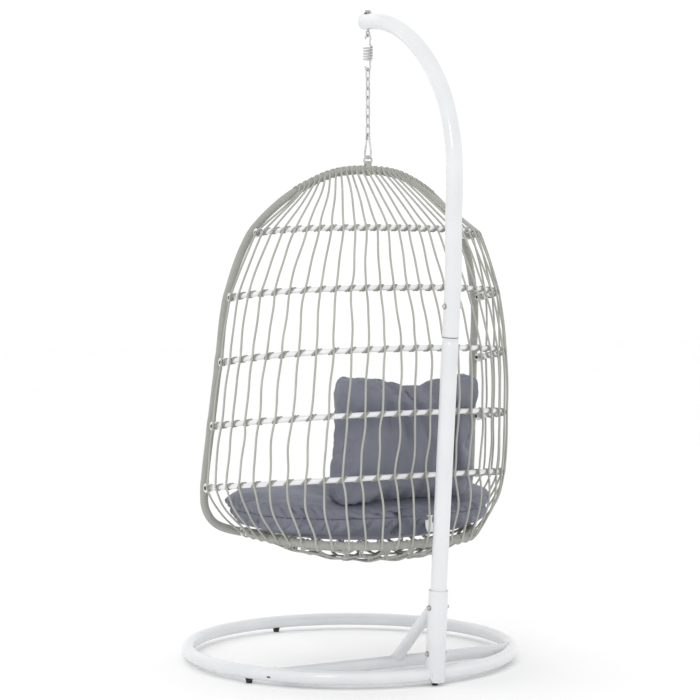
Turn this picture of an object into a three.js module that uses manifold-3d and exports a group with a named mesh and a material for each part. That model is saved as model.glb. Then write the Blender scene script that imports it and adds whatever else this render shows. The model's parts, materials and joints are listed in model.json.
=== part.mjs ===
// Hanging egg chair: a corded basket that hangs from a curved steel stand. Millimetres, +Z up.
// The sitter faces -Y, the pole stands behind at +Y, and +X is the sitter's left.
import * as THREE from 'three';
import { mergeVertices } from 'three/addons/utils/BufferGeometryUtils.js';
import Module from 'manifold-3d';

const wasm = await Module();
wasm.setup();

// ---- driving dimensions ----
const GAP = 0.3; // clearance kept between neighbouring pieces
const RAD = Math.PI / 180;

// stand
const RING_R = 500; // base ring, centre line
const RING_TUBE = 20;
const RING_Z = 32; // height of the ring's centre line
const WALL = 1.6; // wall of the stand's thinner tubes
const VENT_AZIMUTH = 56 * RAD; // galvanising hole under the ring, from the pole towards +X
const VENT_R = 3;
const CROSS_Y = 284; // cross tube's distance behind the ring's centre
const CROSS_TUBE = 19;
const POLE_TUBE = 24;
const POLE_WALL = 2;
const POLE_LEAN = 4.8 * RAD; // the straight pole leans away from the seat
const POLE_FOOT_Z = 58;
const SOCKET_OUTER = 28.5;
const SOCKET_INNER = 25;
const SOCKET_TOP = 276;
const SOCKET_BOLTS_Z = [93, 227];
const SEAM_Z = 1004; // joint between the lower and upper pole
const JOINT_BOLT_Z = 1092;
const BEND_START_Z = 1180;
const BRACE_TUBE = 16.5;
const BRACE_HEAD_Z = 248;
const ARM_TIP_Y = 96;
const ARM_Z = 1951; // centre line of the arm at its tip
const FEET_AZIMUTH = [0, 65, 180, 245]; // degrees from the pole, towards +X
const FOOT_H = RING_Z - RING_TUBE - GAP;
const BOLT_R = 3; // shank of every M6 bolt

// suspension, measured down the hang axis
const HANG_Y = 112; // the hang axis, behind the ring's centre
const HANG_TWIST = 11 * RAD; // the free-turning hardware hangs a little out of line
const EYE_BOLT_R = 5;
const EYE_WIRE = 2.6;
const EYE_LOW_Z = 1904; // wire centre at the bottom of the eye
const EYE_HALF = [8, 6]; // half length and half width of the eye
const HOOK_WIRE = 3;
const SPRING_R = 13; // coil centre line
const SPRING_COILS = 5;
const SPRING_HOOK = 11.5; // half width of the spring's end hooks
const SPRING_TOP_Z = EYE_LOW_Z + EYE_WIRE + HOOK_WIRE + GAP; // wire centre of the upper hook
const COIL_TOP_Z = 1874;
const COIL_BOTTOM_Z = 1832;
const SPRING_LOW_Z = 1801.4; // wire centre of the lower hook
const CHAIN_WIRE = 2.6;
const CHAIN_PITCH = 28.3;
const CHAIN_LINKS = 7;
const LINK_GAP = 1; // play between the links
const LINK_HALF = [CHAIN_PITCH / 2 + CHAIN_WIRE + LINK_GAP / 2, 6];
const CHAIN_TOP_Z = SPRING_LOW_Z + HOOK_WIRE + CHAIN_WIRE + LINK_GAP; // wire centre of link 1's top
const HOOK_TOP_Z = CHAIN_TOP_Z - CHAIN_PITCH * CHAIN_LINKS + HOOK_WIRE - CHAIN_WIRE + 2 * GAP;
const RING_WIRE = 3.2; // hanger ring
const HANGER_R = 13;

// basket, in its own frame: origin at the top of the front frame, hoop pivots behind the XZ plane
const FRAME_TOP_Z = 1501;
const BASKET_LEAN = 8 * RAD; // the frame's foot swings forward until the weight hangs plumb
const FRAME_TUBE = 9.5;
const FRAME_WALL = 2;
const WRAP_R = 12.5; // outside of the cord wound round the frame
const HANGER_Z = FRAME_TOP_Z + WRAP_R + GAP + RING_WIRE + HANGER_R;
const HOOK_LOW_Z = HANGER_Z + HANGER_R - RING_WIRE - HOOK_WIRE - LINK_GAP;
const FRAME_HALF = [ // x, y, z down one half of the front frame
  [0, 0, 0], [105, -1, -10], [199, -6, -48], [292, -14, -112], [375, -23, -209],
  [436, -26, -397], [450, -26, -584], [463, -26, -776], [473, -26, -964], [466, -26, -1032],
  [432, -26, -1080], [346, -26, -1112], [180, -26, -1130], [0, -26, -1134],
];
const FRAME_STEPS = 42;
const HOOP_TUBE = 8;
const HOOP_WALL = 1;
const HOOP_STEPS = 15;
const HOOP_POWER = 2.3; // squareness of the hoops in plan
const HOOPS = [ // pivot (half width, y, z), tube in front of it, depth, and the rise towards the back
  { w: 366, y: 8, z: -196, tubeY: -22, d: 217, rise: 12 * RAD },
  { w: 436, y: 0, z: -390, tubeY: -26, d: 312, rise: 13.6 * RAD },
  { w: 452, y: 0, z: -584, tubeY: -26, d: 395, rise: 14.8 * RAD },
  { w: 468, y: 0, z: -776, tubeY: -26, d: 418, rise: 14.8 * RAD },
  { w: 477, y: 0, z: -964, tubeY: -26, d: 421, rise: 14.8 * RAD },
];
const SEAT = { w: 346, y: 0, z: -1106, tubeY: -26, d: 440, rise: 6.7 * RAD, power: 2.5 };
const PIVOTS = [...HOOPS, SEAT];
const LUG_R = 13;
const PLATE_T = 3; // hoop lugs and frame tabs
const TAB_HIGH = 18;
const TAB_INSET = 2.6; // middle of the frame's tab, inboard of the pivot width
const LUG_OUTSET = 0.9;

// cords
const STRANDS = 28;
const CORD_W = 5; // plain stand-in section of a cord
const CORD_T = 4;
const CORD_CLEAR = 2.6; // between a tube and the plain cord that passes it
const CORD_LIFT = 16; // a band stops short of the tube it runs to
const FAN_HALF_X = 235; // the cords start on the frame's top arc, out to this half width
const NET_SAG = 72;
const NET_POWER = 3;
const NET_T = 4;

// cushions
const SEAT_PAD = { halfX: 412, front: 42, back: 356, y: 34, thick: 122, taper: 0.13 };
const PILLOW = { halfX: 226, halfY: 66, high: 346, x: -14, y: 300 };
const PAD_CLEAR = 3;

// ---- materials ----
const paint = new THREE.MeshStandardMaterial({ color: 0xf1f2f3, roughness: 0.32, metalness: 0 });
const nickel = new THREE.MeshStandardMaterial({ color: 0xb9b7b0, roughness: 0.25, metalness: 1 });
const zinc = new THREE.MeshStandardMaterial({ color: 0xe3e4e5, roughness: 0.4, metalness: 0.3 });
const cord = new THREE.MeshStandardMaterial({ color: 0xc3c3bb, roughness: 0.85, metalness: 0 });
const cloth = new THREE.MeshStandardMaterial({ color: 0x7d808e, roughness: 0.8, metalness: 0 });
const rubber = new THREE.MeshStandardMaterial({ color: 0x1b1c1e, roughness: 0.8, metalness: 0 });
const plastic = new THREE.MeshStandardMaterial({ color: 0xf0f0f0, roughness: 0.5, metalness: 0 });

// ---- groups ----
const part = new THREE.Group();
const row = new THREE.Group(); // origin under the middle of the base ring
const hang = new THREE.Group();
hang.position.set(0, HANG_Y, 0);
hang.rotation.z = HANG_TWIST;
const basket = new THREE.Group();
basket.position.set(0, HANG_Y, FRAME_TOP_Z);
basket.rotation.x = -BASKET_LEAN;
const seatGroup = new THREE.Group();
seatGroup.position.z = SEAT.z;
seatGroup.rotation.x = SEAT.rise;
part.add(row);
row.add(hang, basket);
basket.add(seatGroup);

// ---- helpers ----
function add(parent, name, geometry, material) {
  const mesh = new THREE.Mesh(geometry, material);
  mesh.name = name;
  parent.add(mesh);
  return mesh;
}

function vec(x, y, z) {
  return new THREE.Vector3(x, y, z);
}

function toSolid(geometry) {
  const plain = geometry.clone();
  plain.deleteAttribute('normal');
  plain.deleteAttribute('uv');
  const merged = mergeVertices(plain, 1e-3);
  const vertProperties = new Float32Array(merged.attributes.position.array);
  const triVerts = new Uint32Array(merged.index.array);
  return new wasm.Manifold(new wasm.Mesh({ numProp: 3, vertProperties, triVerts }));
}

function toGeometry(solid) {
  const mesh = solid.getMesh();
  const geometry = new THREE.BufferGeometry();
  geometry.setAttribute('position', new THREE.BufferAttribute(mesh.vertProperties, 3));
  geometry.setIndex(new THREE.BufferAttribute(mesh.triVerts, 1));
  geometry.computeVertexNormals();
  return geometry;
}

function fromTriangles(positions) {
  const geometry = new THREE.BufferGeometry();
  geometry.setAttribute('position', new THREE.Float32BufferAttribute(positions, 3));
  const merged = mergeVertices(geometry, 1e-3);
  merged.computeVertexNormals();
  return merged;
}

function smooth(points, closed = false) {
  return new THREE.CatmullRomCurve3(points, closed, 'centripetal');
}

function disc(radius, hole = 0) {
  const shape = new THREE.Shape().absarc(0, 0, radius, 0, 2 * Math.PI);
  if (hole > 0) {
    shape.holes.push(new THREE.Path().absarc(0, 0, hole, 0, 2 * Math.PI));
  }
  return shape;
}

// A tube or rod along a curve; sides is even.
function sweep(curve, radius, { hole = 0, steps = 1, sides = 12 } = {}) {
  const options = { steps, extrudePath: curve, bevelEnabled: false, curveSegments: sides / 2 };
  return new THREE.ExtrudeGeometry(disc(radius, hole), options);
}

function rod(from, to, radius, { hole = 0, sides = 16 } = {}) {
  return sweep(new THREE.LineCurve3(from, to), radius, { hole, sides });
}

// A rod along X, centred on a point.
function crossRod(centre, half, radius, options) {
  const from = centre.clone().add(vec(-half, 0, 0));
  const to = centre.clone().add(vec(half, 0, 0));
  return rod(from, to, radius, options);
}

// The radius of a polygonal bore that clears a round shank.
function boreRadius(shank, sides) {
  return (shank + GAP) / Math.cos(Math.PI / sides);
}

function boltBore(centre) {
  return toSolid(crossRod(centre, 40, boreRadius(BOLT_R, 8), { sides: 8 }));
}

function turned(profile, segments = 16) {
  const points = profile.map(([radius, z]) => new THREE.Vector2(radius, z));
  return new THREE.LatheGeometry(points, segments).rotateX(Math.PI / 2);
}

// A hexagonal nut with a plain bore, along Z.
function nutGeometry(shank, across, low, high) {
  const bore = boreRadius(shank, 6);
  return turned([[bore, low], [across, low], [across, high], [bore, high], [bore, low]], 6);
}

// A closed loop has no ends, so a closed tube is one shell.
function loop(curve, radius, steps, sides) {
  return toSolid(new THREE.TubeGeometry(curve, steps, radius, sides, true));
}

// ---- stand ----
function polePoint(z) {
  return vec(0, RING_R + (z - RING_Z) * Math.tan(POLE_LEAN), z);
}

function ringSolid(radius) {
  return toSolid(new THREE.TorusGeometry(RING_R, radius, 10, 38).translate(0, 0, RING_Z));
}

function buildBaseRing() {
  const x = RING_R * Math.sin(VENT_AZIMUTH);
  const y = RING_R * Math.cos(VENT_AZIMUTH);
  const vent = toSolid(rod(vec(x, y, 0), vec(x, y, RING_Z), VENT_R, { sides: 8 }));
  const ring = ringSolid(RING_TUBE).subtract(ringSolid(RING_TUBE - WALL)).subtract(vent);
  add(row, 'base_ring', toGeometry(ring), paint);
}

function buildCrossTube() {
  const half = Math.sqrt(RING_R ** 2 - CROSS_Y ** 2);
  const centre = vec(0, CROSS_Y, RING_Z);
  const tube = toSolid(crossRod(centre, half, CROSS_TUBE, { hole: CROSS_TUBE - WALL }));
  add(row, 'cross_tube', toGeometry(tube.subtract(ringSolid(RING_TUBE + GAP))), paint);
}

function buildSocket() {
  const tube = rod(polePoint(RING_Z + 2), polePoint(SOCKET_TOP), SOCKET_OUTER, { hole: SOCKET_INNER });
  const bores = SOCKET_BOLTS_Z.map((z) => boltBore(polePoint(z)));
  const cuts = [ringSolid(RING_TUBE + GAP), ...bores];
  const socket = cuts.reduce((solid, cut) => solid.subtract(cut), toSolid(tube));
  add(row, 'pole_socket', toGeometry(socket), paint);
}

function buildBrace() {
  const foot = vec(0, CROSS_Y - 6, RING_Z + 4);
  const tube = toSolid(rod(foot, polePoint(BRACE_HEAD_Z), BRACE_TUBE, { hole: BRACE_TUBE - WALL }));
  const socket = toSolid(rod(polePoint(0), polePoint(2 * SOCKET_TOP), SOCKET_OUTER + GAP));
  const cross = toSolid(crossRod(vec(0, CROSS_Y, RING_Z), 80, CROSS_TUBE + GAP));
  add(row, 'brace_tube', toGeometry(tube.subtract(socket).subtract(cross)), paint);
}

function buildLowerPole() {
  const hole = POLE_TUBE - POLE_WALL;
  const tube = rod(polePoint(POLE_FOOT_Z), polePoint(SEAM_Z), POLE_TUBE, { hole, sides: 12 });
  const bores = SOCKET_BOLTS_Z.map((z) => boltBore(polePoint(z)));
  const pole = bores.reduce((solid, bore) => solid.subtract(bore), toSolid(tube));
  add(row, 'lower_pole', toGeometry(pole), paint);
}

function upperPoleCurve() {
  return smooth([
    polePoint(SEAM_Z + GAP), polePoint(JOINT_BOLT_Z), polePoint(BEND_START_Z),
    vec(0, 597, 1330), vec(0, 602, 1460), vec(0, 592, 1560), vec(0, 558, 1662),
    vec(0, 500, 1752), vec(0, 420, 1830), vec(0, 318, 1895), vec(0, 220, 1932),
    vec(0, 150, 1945), vec(0, ARM_TIP_Y, ARM_Z),
  ]);
}

function buildUpperPole() {
  const curve = upperPoleCurve();
  const hole = POLE_TUBE - POLE_WALL;
  const tube = toSolid(sweep(curve, POLE_TUBE, { hole, steps: 24, sides: 12 }));
  const low = vec(0, HANG_Y, ARM_Z - 2 * POLE_TUBE);
  const high = vec(0, HANG_Y, ARM_Z + 2 * POLE_TUBE);
  const eyeBore = toSolid(rod(low, high, boreRadius(EYE_BOLT_R, 12), { sides: 12 }));
  const pole = tube.subtract(eyeBore).subtract(boltBore(polePoint(JOINT_BOLT_Z)));
  add(row, 'upper_pole', toGeometry(pole), paint);

  const tangent = curve.getTangentAt(1);
  const dome = [[0, 0], [POLE_TUBE, 0], [POLE_TUBE, 3], [21, 10], [13, 15], [0, 17]];
  const cap = add(row, 'pole_end_cap', turned(dome, 12), paint);
  cap.position.copy(curve.getPointAt(1).addScaledVector(tangent, GAP));
  cap.quaternion.setFromUnitVectors(vec(0, 0, 1), tangent);
}

// A cross bolt: domed head at +X, plain shank, with its nut at -X.
function buildCrossBolt(name, centre, outer) {
  const bolt = turned([
    [0, -outer - 9], [BOLT_R, -outer - 9], [BOLT_R, outer + GAP], [7, outer + GAP],
    [7, outer + 4], [4, outer + 7], [0, outer + 7],
  ], 8);
  add(row, `${name}_bolt`, bolt.rotateY(Math.PI / 2), nickel).position.copy(centre);
  const nut = nutGeometry(BOLT_R, 6, -outer - 6, -outer - GAP);
  add(row, `${name}_nut`, nut.rotateY(Math.PI / 2), nickel).position.copy(centre);
}

function buildFeet() {
  const profile = [[0, 0], [8.5, 0], [11, FOOT_H], [0, FOOT_H]];
  FEET_AZIMUTH.forEach((degrees, index) => {
    const foot = add(row, `foot_${index + 1}`, turned(profile, 10), rubber);
    foot.position.set(RING_R * Math.sin(degrees * RAD), RING_R * Math.cos(degrees * RAD), 0);
  });
}

// ---- suspension ----
// A stadium-shaped wire link in the XZ plane, centred on its middle.
function linkSolid([halfLength, halfWidth], wire) {
  const straight = halfLength - halfWidth;
  const points = [];
  const arc = 5;
  for (const turn of [0, Math.PI]) {
    for (let i = 0; i <= arc; i += 1) {
      const angle = turn + (Math.PI * i) / arc;
      const middle = turn === 0 ? straight : -straight;
      points.push(vec(halfWidth * Math.cos(angle), 0, middle + halfWidth * Math.sin(angle)));
    }
  }
  return loop(smooth(points, true), wire, 12, 5);
}

function buildEyeBolt() {
  const armTop = ARM_Z + POLE_TUBE;
  const middle = EYE_LOW_Z + EYE_HALF[0];
  const eye = linkSolid(EYE_HALF, EYE_WIRE).translate([0, 0, middle]);
  const stem = rod(vec(0, 0, middle + EYE_HALF[0] - 2), vec(0, 0, armTop + 9), EYE_BOLT_R, { sides: 12 });
  add(hang, 'hook_eye_bolt', toGeometry(eye.add(toSolid(stem))), nickel);
  const nut = nutGeometry(EYE_BOLT_R, 9.5, armTop + 2 * GAP, armTop + 8);
  add(hang, 'hook_eye_nut', nut, nickel);
}

// The spring's wire, in the YZ plane at both hooks, coiled about the hang axis between them.
function springPoints() {
  const reach = SPRING_HOOK;
  const shoulder = 0.75 * reach;
  const top = [[-reach, -13], [-shoulder, -4], [0, 0], [shoulder, -4], [reach, -13], [9, -26]];
  const low = [[9, 22], [reach, 13], [shoulder, 4], [0, 0], [-shoulder, 4], [-reach, 13]];
  const points = top.map(([y, z]) => vec(0, y, SPRING_TOP_Z + z));
  const perTurn = 8;
  const count = SPRING_COILS * perTurn;
  for (let i = 0; i <= count; i += 1) {
    const angle = (2 * Math.PI * i) / perTurn;
    const z = COIL_TOP_Z - ((COIL_TOP_Z - COIL_BOTTOM_Z) * i) / count;
    points.push(vec(-SPRING_R * Math.sin(angle), SPRING_R * Math.cos(angle), z));
  }
  low.forEach(([y, z]) => points.push(vec(0, y, SPRING_LOW_Z + z)));
  return points;
}

function buildSpring() {
  const wire = HOOK_WIRE - 0.2;
  add(hang, 'spring', sweep(smooth(springPoints()), wire, { steps: 76, sides: 6 }), zinc);
}

function buildChain() {
  for (let i = 0; i < CHAIN_LINKS; i += 1) {
    const link = add(hang, `chain_link_${i + 1}`, toGeometry(linkSolid(LINK_HALF, CHAIN_WIRE)), zinc);
    link.position.z = CHAIN_TOP_Z - LINK_HALF[0] - CHAIN_PITCH * i;
    link.rotation.z = i % 2 === 0 ? 0 : Math.PI / 2;
  }
}

// The snap hook: a pear-shaped wire body in the YZ plane, open at -Y where the gate closes it.
function buildSnapHook() {
  const top = HOOK_TOP_Z;
  const low = HOOK_LOW_Z;
  const spine = smooth([
    vec(0, -4.6, top - 15), vec(0, -6.4, top - 7), vec(0, 0, top), vec(0, 6.6, top - 7),
    vec(0, 7.5, top - 22), vec(0, 14, low + 18), vec(0, 11, low + 5), vec(0, 0, low),
    vec(0, -11, low + 5), vec(0, -14, low + 16),
  ]);
  add(hang, 'snap_hook', sweep(spine, HOOK_WIRE, { steps: 22, sides: 6 }), zinc);
  const gate = rod(vec(0, -4.9, top - 16.6), vec(0, -13.8, low + 17.6), HOOK_WIRE - 0.4, { sides: 8 });
  add(hang, 'snap_hook_gate', gate, zinc);
}

function buildHangerRing() {
  const ring = new THREE.TorusGeometry(HANGER_R, RING_WIRE, 6, 18).rotateX(Math.PI / 2);
  add(row, 'hanger_ring', ring, zinc).position.set(0, HANG_Y, HANGER_Z);
}

// ---- basket ----
function frameCurve() {
  const left = FRAME_HALF.map(([x, y, z]) => vec(x, y, z));
  const right = FRAME_HALF.slice(1, -1).reverse().map(([x, y, z]) => vec(-x, y, z));
  return smooth([...left, ...right], true);
}

// A tab welded to the back of the frame tube, with a bolt hole on the hoop's pivot axis.
function tabSolid(side, { w, y, z, tubeY }) {
  const centre = vec(side * (w - TAB_INSET), y, z);
  const back = y + 10;
  const plate = new THREE.BoxGeometry(PLATE_T, back - tubeY, TAB_HIGH);
  plate.translate(centre.x, (tubeY + back) / 2, z);
  return toSolid(plate).subtract(boltBore(centre));
}

function frameVent(radius) {
  const [, y, z] = FRAME_HALF[FRAME_HALF.length - 1];
  return toSolid(rod(vec(0, y, z - 2 * WRAP_R), vec(0, y, z), radius, { sides: 6 }));
}

function buildFrontFrame() {
  const curve = frameCurve();
  const outer = loop(curve, FRAME_TUBE, FRAME_STEPS, 8);
  const inner = loop(curve, FRAME_TUBE - FRAME_WALL, FRAME_STEPS, 6);
  const tabs = PIVOTS.flatMap((spec) => [tabSolid(1, spec), tabSolid(-1, spec)]);
  const frame = tabs.reduce((solid, tab) => solid.add(tab), outer);
  add(basket, 'front_frame', toGeometry(frame.subtract(inner).subtract(frameVent(2))), paint);
}

function buildFrameWrap() {
  const curve = frameCurve();
  let wrap = loop(curve, WRAP_R, FRAME_STEPS, 8);
  wrap = wrap.subtract(loop(curve, FRAME_TUBE + GAP, FRAME_STEPS, 8));
  for (const { w, z, tubeY } of PIVOTS) {
    for (const side of [1, -1]) {
      const slot = new THREE.BoxGeometry(PLATE_T + 2 * GAP, 80, TAB_HIGH + 2 * GAP);
      wrap = wrap.subtract(toSolid(slot.translate(side * (w - TAB_INSET), tubeY + 40, z)));
    }
  }
  add(basket, 'frame_wrap', toGeometry(wrap.subtract(frameVent(2 + GAP))), cord);
}

// A hoop in plan: a squared half ellipse from the left pivot (t = 0) round the back to the right.
class HoopCurve extends THREE.Curve {
  constructor({ power = HOOP_POWER, ...spec }, offset = 0) {
    super();
    Object.assign(this, spec, { power, offset });
  }

  plan(t) {
    const angle = Math.PI * t;
    const bend = 2 / this.power;
    const x = this.w * Math.sign(Math.cos(angle)) * Math.abs(Math.cos(angle)) ** bend;
    const y = this.d * Math.abs(Math.sin(angle)) ** bend;
    return new THREE.Vector2(x, y);
  }

  // Outward normal of the plan outline.
  outward(t) {
    const { x, y } = this.plan(t);
    const nx = Math.sign(x) * Math.abs(x / this.w) ** (this.power - 1) / this.w;
    const ny = Math.abs(y / this.d) ** (this.power - 1) / this.d;
    return new THREE.Vector2(nx, ny).normalize();
  }

  // A direction in the hoop's tilted plane.
  tilted(x, y) {
    return vec(x, y * Math.cos(this.rise), y * Math.sin(this.rise));
  }

  getPoint(t) {
    const { x, y } = this.plan(t).addScaledVector(this.outward(t), this.offset);
    return this.tilted(x, y).add(vec(0, this.y, this.z));
  }
}

// A hoop's line by arc length, short of its pivots by a share of its length.
function hoopPath(spec, skip) {
  const curve = new HoopCurve(spec);
  const count = 30;
  const points = Array.from({ length: count + 1 }, (unused, i) => (
    curve.getPointAt(skip + ((1 - 2 * skip) * i) / count)
  ));
  return smooth(points);
}

// A flat round lug with its bolt hole, outboard of the frame's tab, joined to the hoop's end.
function lugSolid(side, { w, y, z, rise }, tube) {
  const centre = vec(side * (w + LUG_OUTSET), y, z);
  const eye = toSolid(crossRod(centre, PLATE_T / 2, LUG_R, { sides: 10 }));
  const web = new THREE.BoxGeometry(PLATE_T, 26, 2 * tube).translate(0, 13, 0).rotateX(rise);
  return eye.add(toSolid(web.translate(centre.x, y, z))).subtract(boltBore(centre));
}

function buildHoop(name, spec, tube) {
  const path = hoopPath(spec, spec.w > spec.d * 1.5 ? 0.02 : 0.014);
  const pipe = toSolid(sweep(path, tube, { hole: tube - HOOP_WALL, steps: HOOP_STEPS, sides: 6 }));
  const hoop = pipe.add(lugSolid(1, spec, tube)).add(lugSolid(-1, spec, tube));
  add(basket, name, toGeometry(hoop), paint);
}

function buildSeatWrap() {
  const hole = FRAME_TUBE + 1.6;
  const wrap = sweep(hoopPath(SEAT, 0.028), WRAP_R, { hole, steps: HOOP_STEPS, sides: 8 });
  add(basket, 'seat_loop_wrap', wrap, cord);
}

// Bolt, washer and nut of one hoop pivot, along X, with the washer outboard.
function pivotBolt(side, { w, y, z }) {
  const bolt = turned([
    [0, -10], [5, -10], [5, -4.4], [BOLT_R, -4.4], [BOLT_R, 2.7], [LUG_R, 2.7],
    [LUG_R, 5.5], [5, 8.5], [0, 8.5],
  ], 8).rotateY(Math.PI / 2);
  if (side < 0) {
    bolt.rotateZ(Math.PI);
  }
  return bolt.translate(side * w, y, z);
}

function buildPivotBolts() {
  PIVOTS.forEach((spec, index) => {
    const name = index < HOOPS.length ? `hoop_${index + 1}` : 'seat_loop';
    add(basket, `${name}_bolt_left`, pivotBolt(1, spec), plastic);
    add(basket, `${name}_bolt_right`, pivotBolt(-1, spec), plastic);
  });
}

// ---- cords ----
// Where a band's cords pass a tube: points with an outward and a sideways direction.
function cordStarts(spec, offset) {
  const curve = new HoopCurve(spec, offset);
  return Array.from({ length: STRANDS }, (unused, j) => {
    const t = curve.getUtoTmapping((j + 0.5) / STRANDS);
    const out = curve.outward(t);
    return { at: curve.getPoint(t), out: curve.tilted(out.x, out.y), along: curve.tilted(-out.y, out.x) };
  });
}

// The cords' starts on the top arc of the front frame, from +X to -X.
function fanStarts() {
  const curve = frameCurve();
  const samples = 400;
  const arc = [];
  for (let i = 0; i < samples; i += 1) {
    const point = curve.getPointAt((i / samples + 0.5) % 1);
    if (Math.abs(point.x) < FAN_HALF_X && point.z > -200) {
      arc.push(point);
    }
  }
  return Array.from({ length: STRANDS }, (unused, j) => {
    const share = (STRANDS - 1 - j) / (STRANDS - 1);
    const at = arc[Math.round((arc.length - 1) * share)].clone();
    at.y += WRAP_R + CORD_CLEAR + CORD_T / 2;
    return { at, out: vec(0, 1, 0), along: vec(-1, 0, 0) };
  });
}

// A comb: a thin lacing strip along the upper tube with one plain cord hanging from it per strand.
function combGeometry(starts, ends) {
  const strip = 3;
  const columns = starts.flatMap(({ at, out, along }, j) => {
    const down = ends[j].clone().sub(at).normalize();
    const levels = [-strip, strip].map((shift) => at.clone().addScaledVector(down, shift));
    levels.push(ends[j]);
    return [-0.5, 0.5].map((side) => levels.map((level) => {
      const middle = level.clone().addScaledVector(along, side * CORD_W);
      return [0.5, -0.5].map((face) => middle.clone().addScaledVector(out, face * CORD_T));
    }));
  });
  const positions = [];
  const face = (corners, flip) => {
    const [a, b, c, d] = flip ? corners.reverse() : corners;
    [a, b, c, a, c, d].forEach((corner) => positions.push(...corner.toArray()));
  };
  // p and q are neighbouring columns; levels run 0 top, 1 strip's foot, 2 cord's end.
  const wall = (p, q, upper) => {
    const lower = upper + 1;
    face([p[upper][0], p[lower][0], q[lower][0], q[upper][0]], false);
    face([p[upper][1], p[lower][1], q[lower][1], q[upper][1]], true);
  };
  const cap = (p, q, level) => {
    face([p[level][0], q[level][0], q[level][1], p[level][1]], level > 0);
  };
  const side = (p, upper, flip) => {
    face([p[upper][0], p[upper][1], p[upper + 1][1], p[upper + 1][0]], flip);
  };
  for (let j = 0; j < columns.length; j += 2) {
    const [left, right, next] = columns.slice(j, j + 3);
    wall(left, right, 0);
    wall(left, right, 1);
    cap(left, right, 0);
    cap(left, right, 2);
    side(left, 1, false);
    side(right, 1, true);
    if (next) {
      wall(right, next, 0);
      cap(right, next, 0);
      cap(right, next, 1);
    }
  }
  side(columns[0], 0, false);
  side(columns[columns.length - 1], 0, true);
  return fromTriangles(positions);
}

function buildRopeBands() {
  const margin = CORD_CLEAR + CORD_T / 2;
  const lines = HOOPS.map((spec) => cordStarts(spec, HOOP_TUBE + margin));
  lines.push(cordStarts(SEAT, WRAP_R + margin));
  const tops = [fanStarts(), ...lines.slice(0, -1)];
  tops.forEach((starts, band) => {
    const ends = lines[band].map(({ at }, j) => {
      const back = starts[j].at.clone().sub(at).normalize();
      return at.clone().addScaledVector(back, CORD_LIFT);
    });
    add(basket, `rope_band_${band + 1}`, combGeometry(starts, ends), cord);
  });
}

// The net's rim just inside the seat loop: plan points from the left front round to the right front.
function netRim(columns) {
  const inset = WRAP_R + 3;
  const curve = new HoopCurve(SEAT, -inset);
  return Array.from({ length: columns + 1 }, (unused, i) => {
    const t = curve.getUtoTmapping(0.05 + (0.9 * i) / columns);
    return curve.plan(t).addScaledVector(curve.outward(t), -inset);
  });
}

// The sagging net under the seat, as a thin dish inside the seat loop.
function buildSeatNet() {
  const rings = 3;
  const rim = netRim(18);
  const centre = new THREE.Vector2(0, SEAT.d * 0.45);
  const at = (i, k, drop) => {
    const share = k / rings;
    const { x, y } = centre.clone().lerp(rim[i], share);
    return [x, y, -NET_SAG * (1 - share ** NET_POWER) - drop];
  };
  const positions = [];
  const face = (a, b, c, flip) => positions.push(...(flip ? [a, c, b] : [a, b, c]).flat());
  rim.forEach((unused, i) => {
    const n = (i + 1) % rim.length;
    for (const drop of [0, NET_T]) {
      face(at(i, 0, drop), at(i, 1, drop), at(n, 1, drop), drop > 0);
      for (let k = 1; k < rings; k += 1) {
        face(at(i, k, drop), at(i, k + 1, drop), at(n, k + 1, drop), drop > 0);
        face(at(i, k, drop), at(n, k + 1, drop), at(n, k, drop), drop > 0);
      }
    }
    face(at(i, rings, 0), at(i, rings, NET_T), at(n, rings, NET_T), false);
    face(at(i, rings, 0), at(n, rings, NET_T), at(n, rings, 0), false);
  });
  add(seatGroup, 'seat_net', fromTriangles(positions), cord);
}

// ---- cushions ----
// A soft block: a sphere pushed out towards a box, rounder in plan or at its edges by two powers.
function softBlock({ halfX, front, back, halfZ, planPower, edgePower, taper = 0 }) {
  const geometry = new THREE.SphereGeometry(1, 20, 10).rotateX(Math.PI / 2);
  const position = geometry.attributes.position;
  const point = new THREE.Vector3();
  for (let i = 0; i < position.count; i += 1) {
    point.fromBufferAttribute(position, i);
    const across = Math.abs(point.x) ** planPower + Math.abs(point.y) ** planPower;
    const plan = across ** (1 / planPower);
    const reach = (plan ** edgePower + Math.abs(point.z) ** edgePower) ** (1 / edgePower);
    point.divideScalar(reach);
    const wide = halfX * (1 + taper * point.z);
    position.setXYZ(i, point.x * wide, point.y * (point.y > 0 ? back : front), point.z * halfZ);
  }
  geometry.computeVertexNormals();
  return geometry;
}

function buildCushions() {
  const low = WRAP_R + PAD_CLEAR;
  const { thick, y } = SEAT_PAD;
  const seat = softBlock({ ...SEAT_PAD, halfZ: thick / 2, planPower: HOOP_POWER, edgePower: 2.8 });
  add(seatGroup, 'seat_cushion', seat, cloth).position.set(0, y, low + thick / 2);
  const { halfX, halfY, high } = PILLOW;
  const pillow = softBlock({ halfX, front: halfY, back: halfY, halfZ: high / 2, planPower: 3, edgePower: 4 });
  const seatTop = SEAT.z + PILLOW.y * Math.tan(SEAT.rise) + low + thick;
  add(basket, 'back_cushion', pillow, cloth).position.set(PILLOW.x, PILLOW.y, seatTop + PAD_CLEAR + high / 2);
}

// The exported frame has its origin under the middle of the whole chair.
function centreOnRow() {
  const box = new THREE.Box3().setFromObject(part);
  row.position.y = -(box.min.y + box.max.y) / 2;
}

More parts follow.
